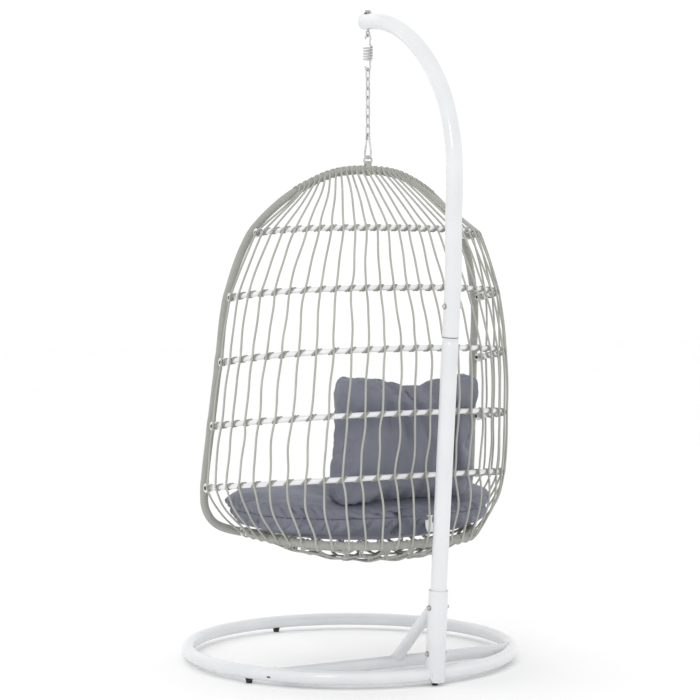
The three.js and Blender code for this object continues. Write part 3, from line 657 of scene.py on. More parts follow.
def build_feet():
    profile = [(0.0, 0.0), (0.0078, 0.0), (0.0086, 0.0006), (0.0089, 0.0022), (0.0106, 0.0098),
               (0.0112, 0.0106), (0.0112, 0.0126), (0.0, 0.0132)]
    for index in range(4):
        low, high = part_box(f"foot_{index + 1}")
        centre = [(low[0] + high[0]) / 2, (low[1] + high[1]) / 2, 0]
        piece(f"rubber_foot_{index + 1}", [lathe(profile, centre, Z, 32)], RUBBER, "stand",
              [f"foot_{index + 1}"], crisp=40)


# ---- suspension ----
def hung_direction(v):
    c, s = math.cos(HANG_TWIST), math.sin(HANG_TWIST)
    v = np.asarray(v, float)
    return np.stack([v[..., 0] * c - v[..., 1] * s, v[..., 0] * s + v[..., 1] * c, v[..., 2]], -1)


def hung(points):
    """Points about the hang axis, turned by the hardware's twist, in the row frame."""
    return hung_direction(np.atleast_2d(points)) + [0, HANG_Y, 0]


def stadium(centre_z, half_length, half_width, turn):
    """A link's centre line: two straight sides and two half circles."""
    straight = half_length - half_width
    angle = np.linspace(0, 2 * np.pi, 80, endpoint=False)
    across = half_width * np.cos(angle)
    along = half_width * np.sin(angle) + np.sign(np.sin(angle)) * straight
    level = np.zeros(len(angle))
    if turn:
        return np.column_stack([level, across, centre_z + along])
    return np.column_stack([across, level, centre_z + along])


def link_shape(centre_z, half_length, half_width, wire, turn):
    """A welded link; the weld is a slight swelling half way along one side."""
    points = stadium(centre_z, half_length, half_width, turn)
    path = resample(np.vstack([points, points[:1]]), 72, closed=True)
    radius = np.full(72, wire)
    weld = np.abs(path[:, 1 if turn else 0] - half_width) + np.abs(path[:, 2] - centre_z)
    radius += 0.0005 * np.exp(-(weld / 0.0022) ** 2)
    return sweep(hung(path), radius, 12, closed=True, ref=hung_direction(X if turn else Y))


def build_eye_bolt():
    eye = link_shape(1.912, 0.008, 0.006, 0.0026, False)
    stem = hung([[0, 0, 1.9185], [0, 0, 1.9830]])
    thread_foot = hung([[0, 0, 1.976]])[0]
    threads = np.linspace(0, 1, 60)[:, None] * (stem[1] - thread_foot) + thread_foot
    ridged = 0.0047 + 0.0003 * np.cos(np.arange(60) * 2 * np.pi / 5)
    nut = hex_nut(hung([[0, 0, 1.9757]])[0], Z, 0.0085, 0.0068)
    collar = [(0.0, 0.0), (0.0125, 0.0), (0.0128, 0.0008), (0.0125, 0.0016), (0.0, 0.0016)]
    shapes = [eye, sweep(stem, 0.0046, 20, ref=X), sweep(threads, ridged, 20, ref=X), nut,
              lathe(collar, hung([[0, 0, 1.9746]])[0], Z)]
    piece("eye_bolt_set", shapes, NICKEL, "eye_bolt", ["hook_eye_bolt", "hook_eye_nut"], crisp=32)


def build_spring():
    reach, shoulder = 0.0115, 0.0086
    top_z, low_z, coil_top, coil_low = 1.9099, 1.8014, 1.874, 1.832
    coil_r, turns, steps = 0.013, 5, 16
    top = [(-reach, -0.013), (-shoulder, -0.004), (0, 0), (shoulder, -0.004), (reach, -0.013),
           (0.009, -0.026)]
    low = [(0.009, 0.022), (reach, 0.013), (shoulder, 0.004), (0, 0), (-shoulder, 0.004), (-reach, 0.013)]
    points = [[0, y, top_z + z] for y, z in top]
    for i in range(turns * steps + 1):
        angle = 2 * np.pi * i / steps
        z = coil_top - (coil_top - coil_low) * i / (turns * steps)
        points.append([-coil_r * math.sin(angle), coil_r * math.cos(angle), z])
    points += [[0, y, low_z + z] for y, z in low]
    path = hung(catmull(points, 520))
    side = path - np.column_stack([np.zeros(len(path)), np.full(len(path), HANG_Y), path[:, 2]])
    tangent = unit(np.gradient(path, axis=0))
    ref = np.where(np.abs(tangent[:, 2:3]) > 0.75, side + 1e-4, np.array([[0, 0, 1.0]]))
    spring = piece("coil_spring", [sweep(path, 0.0028, 12, ref=smooth_rows(ref, 8))], ZINC,
                   replaces=["spring"])
    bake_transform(spring)


def smooth_rows(rows, width):
    kernel = np.ones(width) / width
    padded = np.pad(unit(rows), ((width, width), (0, 0)), mode="edge")
    return np.column_stack([np.convolve(padded[:, k], kernel, "same")[width:-width] for k in range(3)])


def build_chain():
    wire, pitch, top = 0.0026, 0.0283, 1.808
    half = pitch / 2 + wire + 0.0005
    for i in range(7):
        body = "chain_head" if i == 0 else "chain"
        shape = link_shape(top - half - pitch * i, half, 0.006, wire, i % 2 == 1)
        piece(f"link_{i + 1}", [shape], ZINC, body, [f"chain_link_{i + 1}"])


def build_hook():
    top, low = 1.6109, 1.5358
    spine = [(-0.0046, top - 0.015), (-0.0064, top - 0.007), (0, top), (0.0066, top - 0.007),
             (0.0075, top - 0.022), (0.014, low + 0.018), (0.011, low + 0.005), (0, low),
             (-0.011, low + 0.005), (-0.014, low + 0.016)]
    path = catmull(hung([[0, y, z] for y, z in spine]), 120)
    radius = np.full(120, 0.003)
    radius[:10] += 0.0008 * np.linspace(1, 0, 10)
    radius[-8:] += 0.0005 * np.linspace(0, 1, 8)
    piece("snap_hook_body", [sweep(path, radius, 16, ref=hung_direction(X))], ZINC, "chain", ["snap_hook"])
    a = hung([[0, -0.0049, top - 0.0166]])[0]
    b = hung([[0, -0.0138, low + 0.0176]])[0]
    run = np.linspace(a, b, 24)
    size = np.full(24, 0.0022)
    size[11:22] = 0.0031
    size[-2:] = 0.0026
    rivet = [(0.0, -0.0048), (0.0018, -0.0048), (0.0022, -0.004), (0.0022, 0.004), (0.0018, 0.0048),
             (0.0, 0.0048)]
    shapes = [sweep(run, size, 16, ref=hung_direction(X)), lathe(rivet, a, hung_direction(X), 16)]
    piece("hook_gate", shapes, ZINC, "gate", ["snap_hook_gate"], crisp=40)


def build_hanger_ring():
    low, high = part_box("hanger_ring")
    centre = np.array([0, HANG_Y, (low[2] + high[2]) / 2])
    angle = np.linspace(0, 2 * np.pi, 72, endpoint=False)
    path = centre + 0.013 * (np.cos(angle)[:, None] * X + np.sin(angle)[:, None] * Z)
    piece("ring_wire", [sweep(path, 0.0032, 16, closed=True, ref=Y)], ZINC, "basket", ["hanger_ring"])
    shapes = []
    arch = frame_points(1200)
    for k, shift in enumerate((-0.0085, -0.005, -0.0017, 0.0017, 0.005, 0.0085)):
        near = arch[np.argmin(np.abs(arch[:, 0] - shift) + (arch[:, 2] < 1.3))]
        top = centre + np.array([0, 0, -0.013])
        middle = (near + top) / 2
        tall = (top[2] - near[2]) / 2
        a = np.linspace(0, 2 * np.pi, 40, endpoint=False)
        wide = 0.0145 + 0.0008 * math.cos(k * 2.1)
        lash = np.column_stack([np.full(40, shift * 0.9 + 0.001 * math.sin(k)) + 0.002 * np.sin(a),
                                middle[1] + wide * np.cos(a) * (0.62 - 0.38 * np.sin(a)),
                                middle[2] + (tall + 0.0065 + WRAP_R * 0.5) * np.sin(a) - 0.003])
        shapes.append(sweep(lash, 0.0021, 8, closed=True, ref=X))
    piece("ring_lashing", shapes, CORD, "basket")


# ---- basket ----
def basket(points):
    """Basket's own frame, origin at the top of the front frame, to the row frame."""
    points = np.asarray(points, float)
    c, s = math.cos(BASKET_LEAN), math.sin(BASKET_LEAN)
    x, y, z = points[..., 0], points[..., 1], points[..., 2]
    return np.stack([x, HANG_Y + y * c + z * s, FRAME_TOP_Z - y * s + z * c], -1)


def basket_direction(v):
    c, s = math.cos(BASKET_LEAN), math.sin(BASKET_LEAN)
    v = np.asarray(v, float)
    return np.stack([v[..., 0], v[..., 1] * c + v[..., 2] * s, -v[..., 1] * s + v[..., 2] * c], -1)


def frame_points(count):
    """The front frame's centre line, closed, from its top down the +X side."""
    right = FRAME_HALF[1:-1][::-1] * [-1, 1, 1]
    return basket(catmull(np.vstack([FRAME_HALF, right]), count, closed=True))


class Hoop:
    """A squared half ellipse in a plane that rises towards the back."""

    def __init__(self, spec):
        self.w, self.d, self.power = spec["w"], spec["d"], spec["power"]
        self.rise = math.radians(spec["rise"])
        self.origin = np.array([0, spec["y"], spec["z"]])
        angle = np.pi * np.linspace(0, 1, 2001)
        bend = 2 / self.power
        x = self.w * np.sign(np.cos(angle)) * np.abs(np.cos(angle)) ** bend
        y = self.d * np.sin(angle) ** bend
        self.plan = np.column_stack([x, y])
        length = np.concatenate([[0], np.cumsum(np.linalg.norm(np.diff(self.plan, axis=0), axis=1))])
        self.share = length / length[-1]
        self.length = length[-1]

    def at(self, share):
        """Row-frame point, outward and along (towards -X) directions, and plan point."""
        share = np.atleast_1d(share)
        plan = np.column_stack([np.interp(share, self.share, self.plan[:, k]) for k in (0, 1)])
        nx = np.sign(plan[:, 0]) * np.abs(plan[:, 0] / self.w) ** (self.power - 1) / self.w
        ny = np.abs(plan[:, 1] / self.d) ** (self.power - 1) / self.d
        out = unit(np.column_stack([nx, ny]))
        point = basket(self.origin + self.tilt(plan))
        return point, basket_direction(self.tilt(out)), basket_direction(
            self.tilt(np.column_stack([-out[:, 1], out[:, 0]]))), plan

    def tilt(self, v):
        return np.column_stack([v[:, 0], v[:, 1] * math.cos(self.rise), v[:, 1] * math.sin(self.rise)])

    def normal(self):
        return basket_direction(np.array([0, -math.sin(self.rise), math.cos(self.rise)]))


RAILS = [Hoop(spec) for spec in PIVOTS]


def wound(points, radius, closed, ref, swell):
    """Cord wound on a tube: a tube whose radius rises and falls once a turn, on a helix."""
    sides = 20
    length = np.concatenate([[0], np.cumsum(np.linalg.norm(np.diff(points, axis=0), axis=1))])
    phase = length[:, None] / WRAP_PITCH + (np.arange(sides) / sides)[None]
    ridge = np.abs(np.sin(np.pi * phase)) ** 0.5
    size = radius - 0.0011 + 0.0011 * ridge + swell[:, None]
    return sweep(points, size, sides, closed=closed, ref=ref)


def build_front_frame():
    path = frame_points(2600)
    swell = np.zeros(len(path))
    for spec in PIVOTS:
        for side in (1, -1):
            tab = basket([side * spec["w"], spec["y"], spec["z"]])
            away = np.abs(path[:, 2] - tab[2]) + 10 * (path[:, 0] * side < 0.05)
            swell += 0.0011 * np.exp(-(away / 0.022) ** 4)
    piece("front_wrap", [wound(path, WRAP_R - 0.0002, True, Y, swell)], WOUND, "basket",
          ["front_frame", "frame_wrap"])
    tabs = []
    for spec in PIVOTS:
        for side in (1, -1):
            low = np.array([side * (spec["w"] - 0.0026), spec["y"] - 0.022, spec["z"]])
            high = low + [0, 0.034, 0]
            tabs.append(plate_shape(low, high, 0.0015, 0.009, X))
    piece("frame_tabs", tabs, HOOP_PAINT, "basket", crisp=40)


def plate_shape(start, end, half_thick, half_high, thick_axis):
    """A flat bar in the basket's frame with one rounded end."""
    run = np.asarray(end) - np.asarray(start)
    length = np.linalg.norm(run)
    run = run / length
    up = np.cross(thick_axis, run)
    outline = [(0, half_high), (0, -half_high)]
    for a in np.linspace(-np.pi / 2, np.pi / 2, 12):
        outline.append((length - half_high + half_high * math.cos(a), half_high * math.sin(a)))
    vertices = [np.asarray(start) + run * u + up * v + thick_axis * t
                for t in (-half_thick, half_thick) for u, v in outline]
    n = len(outline)
    faces = [list(range(n - 1, -1, -1)), list(range(n, 2 * n))]
    faces += [[k, (k + 1) % n, n + (k + 1) % n, n + k] for k in range(n)]
    return basket(np.array(vertices)), faces, None


def rail_name(index):
    return "seat_loop" if index == SEAT_INDEX else f"hoop_{index + 1}"


def build_hoop(index):
    """A round tube whose ends are pressed flat into lugs on the pivots."""
    rail, spec = RAILS[index], PIVOTS[index]
    share = np.linspace(0.0, 1.0, 220)
    point, out, _, _ = rail.at(share)
    inward = np.minimum(share, 1 - share) * rail.length
    keep = inward > 0.006
    point, out, inward = point[keep], out[keep], inward[keep]
    flat = 1 / (1 + np.exp(-(0.040 - inward) / 0.005))
    tube = FRAME_TUBE if index == SEAT_INDEX else HOOP_TUBE
    wide = tube * (1 - flat) + 0.0017 * flat
    high = tube * (1 - flat) + 0.0125 * flat
    sides = 24
    angle = np.arange(sides) * 2 * np.pi / sides
    normal = rail.normal()
    side = out[:, None] * (np.cos(angle)[None, :, None] * wide[:, None, None])
    up = normal[None, None] * (np.sin(angle)[None, :, None] * high[:, None, None])
    vertices = (point[:, None] + side + up).reshape(-1, 3)
    shapes = [(vertices, tube_faces(len(point), sides), None)]
    for end in (1, -1):
        lug = basket([end * (spec["w"] + 0.0009), spec["y"], spec["z"]])
        disc = [(0.0, -0.0017), (0.0118, -0.0017), (0.0127, -0.001), (0.0127, 0.001), (0.0118, 0.0017),
                (0.0, 0.0017)]
        shapes.append(lathe(disc, lug, X, 40))
    node = rail_name(index)
    body = "seat" if index == SEAT_INDEX else node
    piece(f"{node}_tube", shapes, HOOP_PAINT, body, [node], crisp=50)


def build_seat_wrap():
    rail = RAILS[SEAT_INDEX]
    share = np.linspace(0.03, 0.97, 1500)
    point, _, _, _ = rail.at(share)
    swell = 0.0009 * (np.abs(((share * STRANDS) % 1) - 0.5) < 0.17)
    swell = np.convolve(np.pad(swell, 10, mode="edge"), np.ones(9) / 9, "same")[10:-10]
    piece("seat_loop_winding", [wound(point, WRAP_R - 0.0004, False, rail.normal(), swell)], WOUND, "seat",
          ["seat_loop_wrap"])


def build_pivot(index, side):
    """White washer, domed bolt with a dark hex socket, and a nut on the inside."""
    spec = PIVOTS[index]
    centre = basket([side * spec["w"], spec["y"], spec["z"]])
    axis = side * X
    washer = [(0.0, 0.0029), (0.0132, 0.0029), (0.0140, 0.0034), (0.0140, 0.0046), (0.0132, 0.0054),
              (0.0068, 0.0054), (0.0066, 0.0046), (0.0, 0.0046)]
    name = rail_name(index)
    label = "left" if side > 0 else "right"
    piece(f"{name}_washer_{label}", [lathe(washer, centre, axis, 40)], PLASTIC, "basket",
          [f"{name}_bolt_{label}"], crisp=40)
    head = [(0.0, 0.0044), (0.0058, 0.0044), (0.0061, 0.0056), (0.0056, 0.0074), (0.0040, 0.0083),
            (0.0026, 0.0084), (0.0024, 0.0062), (0.0, 0.0062)]
    shank = [(0.0, -0.0098), (0.0030, -0.0098), (0.0030, 0.0), (0.0, 0.0)]
    shapes = [lathe(head, centre, axis, 28), lathe(shank, centre, axis, 20)]
    shapes.append(hex_nut(centre - axis * 0.0044, -axis, 0.0047, 0.0045))
    piece(f"{name}_screw_{label}", shapes, DARK, "basket", crisp=32)


# ---- cords ----
def strand_share(j):
    return (j + 0.5) / STRANDS


def rail_axes(index, j):
    """Where strand j crosses rail index: the rail's point, outward, up and along directions."""
    point, out, along, _ = RAILS[index].at(strand_share(j))
    up = np.cross(out[0], along[0])
    return point[0], out[0], up if up[2] > 0 else -up, along[0]


def turn_round(centre, out, up, along, radius, angle, lateral):
    """A loop round a tube, shifted along the tube by lateral."""
    return centre + out * (radius * np.cos(angle))[:, None] + up * (radius * np.sin(angle))[:, None] \
        + along * lateral[:, None]


def crossing(index, j):
    """Where strand j crosses rail index: point on the cord's line, outward, along and the plan depth."""
    point, out, along, plan = RAILS[index].at(strand_share(j))
    outward = TUBE_OF[index] + (2 * FLAT_CORD[1] + CORD_R * 0.8 if index < SEAT_INDEX else CORD_R * 1.1)
    return point[0] + out[0] * outward, out[0], along[0], plan[0]


def fan_start(j):
    """Where strand j leaves the front frame's top arc."""
    arch = frame_points(ARCH_COUNT)
    top = arch[(np.abs(arch[:, 0]) < FAN_HALF_X) & (arch[:, 2] > 1.3)]
    top = top[np.argsort(-top[:, 0])]
    return top[int(round((len(top) - 1) * j / (STRANDS - 1)))]


def wander(rng, count, size):
    """A smooth sideways wander that is zero at both ends."""
    s = np.linspace(0, 1, count)
    first, second, third = rng.uniform(-1, 1, 3)
    return size * (first * np.sin(np.pi * s) + 0.6 * second * np.sin(2 * np.pi * s)
                   + 0.3 * third * np.sin(3 * np.pi * s))


def strand_path(band, j, rng):
    """One cord of one bay, from the rail above (or the frame's top) to the rail below."""
    low, out, along, _ = crossing(band, j)
    count = 26
    s = np.linspace(0, 1, count)[:, None]
    if band == 0:
        root = fan_start(j)
        toward = unit(low - root)
        back = basket_direction(np.array([0, 1.0, 0]))
        start = root + back * (WRAP_R + CORD_R * 0.6) + np.array([0, 0, -0.002])
        path = start * (1 - s) + low * s
        path += back * (0.012 * np.sin(np.pi * s) * (1 - s))
        head = root - toward * 0.006 + np.array([0, 0, 0.0105]) + back * 0.0105
        path = np.vstack([head, path])
        s = np.concatenate([[[0.0]], s])
        drift = np.concatenate([[0], wander(rng, count, WANDER[band])])
    else:
        high, high_out, _, _ = crossing(band - 1, j)
        path = high * (1 - s) + low * s
        middle = unit(out + high_out)
        path = path + middle * BULGE[band] * np.sin(np.pi * s)
        drift = wander(rng, count, WANDER[band])
    path = path + along * drift[:, None]
    if band == SEAT_INDEX:
        foot = path[-1] - out * 0.006 + basket_direction(np.array([0, 0, -0.008]))
        path = np.vstack([path, foot])
    return path


def fold_share(band, plan_y):
    """How far, as a share of the cords' slide, a rail's crossing moves when the basket folds."""
    rise = math.radians(PIVOTS[band]["rise"])
    turn = math.radians(JOINTS["seat_fold"]["range_deg"][1]) if band == SEAT_INDEX else 2 * (FOLD_MID - rise)
    return 2 * math.sin(turn / 2) * plan_y / FOLD_REACH


def inverse_smoothstep(w):
    w = min(max(w, 0.0), 1.0)
    return 0.5 - math.sin(math.asin(1 - 2 * w) / 3)


def blend_ends(a, b, share_a, share_b):
    a, b = a * [0, 1, 1], b * [0, 1, 1]
    ta, tb = inverse_smoothstep(share_a), inverse_smoothstep(share_b)
    if abs(tb - ta) < 0.02:
        tb = ta + 0.02
    step = (b - a) / (tb - ta)
    start = a - step * ta
    return start, start + step


def tilted_rings(index, j):
    """The cord's diagonal turns round a rail, just under where strand j passes it."""
    point, out, up, along = rail_axes(index, j)
    radius = TUBE_OF[index] + FLAT_CORD[1] * 0.8
    angle = np.linspace(0, 2 * np.pi, 40, endpoint=False)
    section = np.broadcast_to(oval(*FLAT_CORD, 10), (40, 10))
    shapes = []
    for shift in (-0.0044, 0.0044):
        path = turn_round(point, out, up, along, radius, angle, shift + 0.0092 * np.sin(angle))
        shapes.append(sweep(path, section, 10, closed=True, ref=along))
    return shapes


def build_strands():
    rng = np.random.default_rng(7)
    for band in range(6):
        paths = [strand_path(band, j, rng) for j in range(STRANDS)]
        for j in range(STRANDS // 2):
            twins = [paths[j], paths[STRANDS - 1 - j]]
            shapes = [sweep(catmull(path, 64), CORD_R, 8, ref=X + 0.3 * Y) for path in twins]
            cord = piece(f"cords_bay_{band + 1}_{j + 1}", shapes, CORD,
                         replaces=[f"rope_band_{band + 1}"])
            low, _, _, plan = crossing(band, j)
            if band == 0:
                start, end = blend_ends(paths[j][1], low, 0.0, fold_share(0, plan[1]))
            else:
                high, _, _, high_plan = crossing(band - 1, j)
                moved = fold_share(band - 1, high_plan[1]), fold_share(band, plan[1])
                start, end = blend_ends(high, low, *moved)
            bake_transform(cord)
            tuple(start)
            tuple(end)
    for index in range(SEAT_INDEX):
        shapes = [shape for j in range(STRANDS) for shape in tilted_rings(index, j)]
        piece(f"hoop_{index + 1}_turns", shapes, CORD_SHADED, f"hoop_{index + 1}")


def build_knots():
    """The cords' turns on the frame's top arc and on the seat loop."""
    arch = frame_points(ARCH_COUNT)
    angle = np.linspace(0, 2 * np.pi, 32, endpoint=False)
    shapes = []
    for j in range(STRANDS):
        root = fan_start(j)
        near = np.argmin(np.linalg.norm(arch - root, axis=1))
        along = unit(arch[(near + 2) % ARCH_COUNT] - arch[near - 2])
        out = unit(np.cross(along, Y))
        back = np.cross(along, out)
        for shift in (-0.0028, 0.0028):
            lateral = shift + 0.0020 * np.sin(angle + j)
            path = turn_round(root, out, back, along, WRAP_R + 0.0002, angle, lateral)
            shapes.append(sweep(path, 0.0016, 6, closed=True, ref=along))
    piece("arch_turns", shapes, WOUND, "basket")
    shapes = []
    for j in range(STRANDS):
        point, out, up, along = rail_axes(SEAT_INDEX, j)
        for lean in (-1, 1):
            lateral = lean * (0.0042 + 0.0045 * np.sin(angle))
            path = turn_round(point, out, up, along, WRAP_R + 0.0009, angle, lateral)
            shapes.append(sweep(path, 0.0022, 6, closed=True, ref=along))
    piece("seat_loop_turns", shapes, CORD, "seat")


def seat_frame(points):
    """The seat loop's plane (x, y, up) to the row frame."""
    points = np.atleast_2d(points)
    rise = math.radians(SEAT["rise"])
    y = points[:, 1] * math.cos(rise) - points[:, 2] * math.sin(rise)
    z = points[:, 1] * math.sin(rise) + points[:, 2] * math.cos(rise)
    return basket(np.column_stack([points[:, 0], y, SEAT["z"] + z]))


def build_net():
    """Doubled cords woven both ways under the seat, hanging from the seat loop."""
    plan = RAILS[SEAT_INDEX].plan[4:-4:2]
    centre = np.array([0, SEAT["d"] * 0.45])
    rim_angle = np.unwrap(np.arctan2(plan[:, 1] - centre[1], plan[:, 0] - centre[0]))
    rim_reach = np.linalg.norm(plan - centre, axis=1) - 0.010
    turn = rim_angle[0]

    def share_of(q):
        """How far out towards the rim each point is, from 0 at the centre to 1."""
        d = q - centre
        angle = np.mod(np.arctan2(d[:, 1], d[:, 0]) - turn, 2 * np.pi) + turn
        reach = np.interp(angle, rim_angle, rim_reach)
        flat = np.abs((0.012 - centre[1]) / np.minimum(np.sin(angle), -1e-3))
        reach = np.where(angle > rim_angle[-1], np.minimum(flat, 0.6), reach)
        return np.linalg.norm(d, axis=1) / reach

    shapes = []
    for family, lean in enumerate((math.radians(52), math.radians(128))):
        run = np.array([math.cos(lean), math.sin(lean)])
        across = np.array([-run[1], run[0]])
        for k in range(-7, 8):
            for pair in (-0.0036, 0.0036):
                line = np.linspace(-0.55, 0.55, 320)
                wave = 0.010 * np.sin(line * 2 * np.pi / NET_WAVE + k * np.pi + family * np.pi / 2)
                q = centre + across * (k * NET_PITCH + pair) + run * line[:, None] + across * wave[:, None]
                share = np.minimum(share_of(q), 1.0)
                rim = (np.abs(q[:, 0]) / (SEAT["w"] - 0.010)) ** 2.5 \
                    + (np.maximum(q[:, 1], 0) / (SEAT["d"] - 0.010)) ** 2.5
                inside = (rim < 1) & (q[:, 1] > -0.018)
                if inside.sum() < 30:
                    continue
                weave = 0.003 * np.sin(line * 2 * np.pi / NET_WAVE + (k + family) * np.pi) * (1 - share ** 6)
                sag = -NET_SAG * (1 - share ** NET_POWER) + weave
                bar = 0.006 + 0.018 * (1 - (q[:, 0] / SEAT["w"]) ** 2)
                sag -= bar * np.clip((0.03 - q[:, 1]) / 0.046, 0, 1)
                points = seat_frame(np.column_stack([q, sag])[inside])
                through = np.vstack([points[:-4:8], points[-1:]])
                shapes.append(sweep(catmull(through, 80), CORD_R * 0.95, 8, ref=Z))
    piece("seat_netting", shapes, CORD, "seat", ["seat_net"])


# ---- cushions ----
def superform(half_x, front, back, half_z, plan_power, edge_power, taper):
    """A rounded block: a sphere pushed out towards a box."""
    columns, rows = 96, 48
    u = np.linspace(0, 2 * np.pi, columns, endpoint=False)
    v = np.linspace(-np.pi / 2, np.pi / 2, rows)[1:-1]
    directions = np.array([[math.cos(b) * math.cos(a), math.cos(b) * math.sin(a), math.sin(b)]
                           for b in v for a in u] + [[0, 0, -1.0], [0, 0, 1.0]])
    size = np.abs(directions)
    plan = (size[:, 0] ** plan_power + size[:, 1] ** plan_power) ** (1 / plan_power)
    reach = (plan ** edge_power + size[:, 2] ** edge_power) ** (1 / edge_power)
    p = directions / reach[:, None]
    x = p[:, 0] * half_x * (1 + taper * p[:, 2])
    y = p[:, 1] * np.where(p[:, 1] > 0, back, front)
    vertices = np.column_stack([x, y, p[:, 2] * half_z])
    n = rows - 2
    faces = tube_faces(n, columns, ends=False)
    low, high = n * columns, n * columns + 1
    faces += [[low, (k + 1) % columns, k] for k in range(columns)]
    faces += [[high, (n - 1) * columns + k, (n - 1) * columns + (k + 1) % columns] for k in range(columns)]
    return vertices, faces, None


def active(obj):
    bpy.ops.object.select_all(action="DESELECT")
    obj.select_set(True)
    bpy.context.view_layer.objects.active = obj


def apply(obj, modifier):
    active(obj)
    bpy.ops.object.modifier_apply(modifier=modifier.name)


def coords(obj, key="co"):
    out = np.empty(len(obj.data.vertices) * 3)
    obj.data.vertices.foreach_get(key, out)
    return out.reshape(-1, 3)


def set_coords(obj, points):
    obj.data.vertices.foreach_set("co", points.ravel())
    obj.data.update()


def remesh(obj):
    modifier = obj.modifiers.new("remesh", "REMESH")
    modifier.mode = "VOXEL"
    modifier.voxel_size = CLOTH_VOXEL
    apply(obj, modifier)


def inflate(obj, pinned, cap, shrink):
    """Blows the cover up with the cloth solver, held at its seams, and caps how far it moves."""
    before = coords(obj)
    group = obj.vertex_groups.new(name="seams")
    for index in np.nonzero(pinned > 0.02)[0]:
        group.add([int(index)], float(pinned[index]), "REPLACE")
    modifier = obj.modifiers.new("cloth", "CLOTH")
    settings = modifier.settings
    settings.use_pressure = True
    settings.uniform_pressure_force = 4.0
    settings.vertex_group_mass = "seams"
    settings.pin_stiffness = 1.0
    settings.shrink_min = shrink
    settings.shrink_max = shrink
    settings.tension_stiffness = 12
    settings.compression_stiffness = 12
    settings.bending_stiffness = 0.4
    settings.effector_weights.gravity = 0
    settings.quality = 6
    modifier.collision_settings.use_collision = False
    modifier.point_cache.frame_start = 1
    modifier.point_cache.frame_end = CLOTH_FRAMES
    for step in range(1, CLOTH_FRAMES + 1):
        bpy.context.scene.frame_set(step)
    apply(obj, modifier)
    bpy.context.scene.frame_set(1)
    move = coords(obj) - before
    size = np.linalg.norm(move, axis=1, keepdims=True)
    set_coords(obj, before + move * np.minimum(1, cap / np.maximum(size, 1e-9)))


def subdivide(obj):
    modifier = obj.modifiers.new("subdivide", "SUBSURF")
    modifier.levels = 1
    modifier.render_levels = 1
    apply(obj, modifier)


def folds(angle, height, count, phase, slant):
    """Gathers that run from a seam: sharp valleys, soft crests."""
    wave = np.sin(angle * count + phase + slant * height + 0.9 * np.sin(angle * 3.1 + phase))
    return -np.maximum(wave, 0) ** 3


def ease(values):
    return np.clip(values, 0, 1)


def bell(values, width, power=2):
    """1 at zero, falling away smoothly over width."""
    return np.exp(-(values / width) ** power)


def finish_cushion(obj, points, body, node):
    set_coords(obj, points)
    obj.data.polygons.foreach_set("use_smooth", [True] * len(obj.data.polygons))
    obj.data.update()
    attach(obj, body)
    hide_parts(node)


def fit_box(points, low, high):
    """Stretches points so that they just fill a box."""
    was_low, was_high = points.min(0), points.max(0)
    return low + (points - was_low) / (was_high - was_low) * (np.asarray(high) - low)


def pad_radius(points, front):
    """How far out from the pad's middle each point is: 1 on the outline."""
    return np.hypot(points[:, 0] / PAD_X, points[:, 1] / np.where(points[:, 1] > 0, PAD_BACK, front))


def pad_gathers(p, n):
    """How far the pad's points move along their normals: gathers, the seam's dent, the tucked corner."""
    angle = np.arctan2(p[:, 1] / PAD_BACK, p[:, 0] / PAD_X)
    level = p[:, 2] / (PAD_THICK / 2)
    side = ease(1.15 - np.abs(n[:, 2]) * 1.05)
    bow = angle + 0.10 * level ** 2 + 0.05 * np.sin(angle * 7)
    uneven = 0.65 + 0.35 * np.sin(angle * 9 + 1)
    deep = 0.0095 * folds(bow, level, 71, 0.4, 2.6) * uneven * side * bell(level - 0.42, 0.42)
    deep += 0.0075 * folds(bow, level, 57, 2.2, -3.0) * side * bell(level + 0.45, 0.32)
    deep += 0.0110 * folds(bow, level, 17, 1.1, 2.0) * side * bell(level, 0.30)
    deep -= 0.0040 * side * bell(level, 0.05)
    slope = TUCK_X - 0.020 * level + 0.012 * np.sin(level * 4)
    tuck = bell(p[:, 0] - slope, 0.012) * (p[:, 1] > 0.1)
    flap = bell(p[:, 0] - slope + 0.030, 0.018) * (p[:, 1] > 0.1)
    return deep + (-0.034 * tuck + 0.010 * flap) * side


def settle_pad(p):
    """Hollows the underside where the net carries it, crowns the top and presses it under the pillow."""
    half_z = PAD_THICK / 2
    inside = ease(1 - np.hypot(p[:, 0] / 0.33, (p[:, 1] - 0.19) / 0.20))
    under = ease((PAD_LOW + half_z * 0.7 - p[:, 2]) / (half_z * 0.7))
    p[:, 2] = np.maximum(p[:, 2], PAD_LOW) - 0.030 * np.sqrt(inside) * under
    radius = pad_radius(p - [0, PAD_Y, 0], 3 * PAD_FRONT)
    upper = ease((p[:, 2] - PAD_LOW - half_z) / half_z)
    pressed = bell(p[:, 0], 0.25, 6) * ease((p[:, 1] - 0.16) / 0.08)
    p[:, 2] += (0.024 * ease(1 - radius ** 4) - 0.030 * pressed) * upper


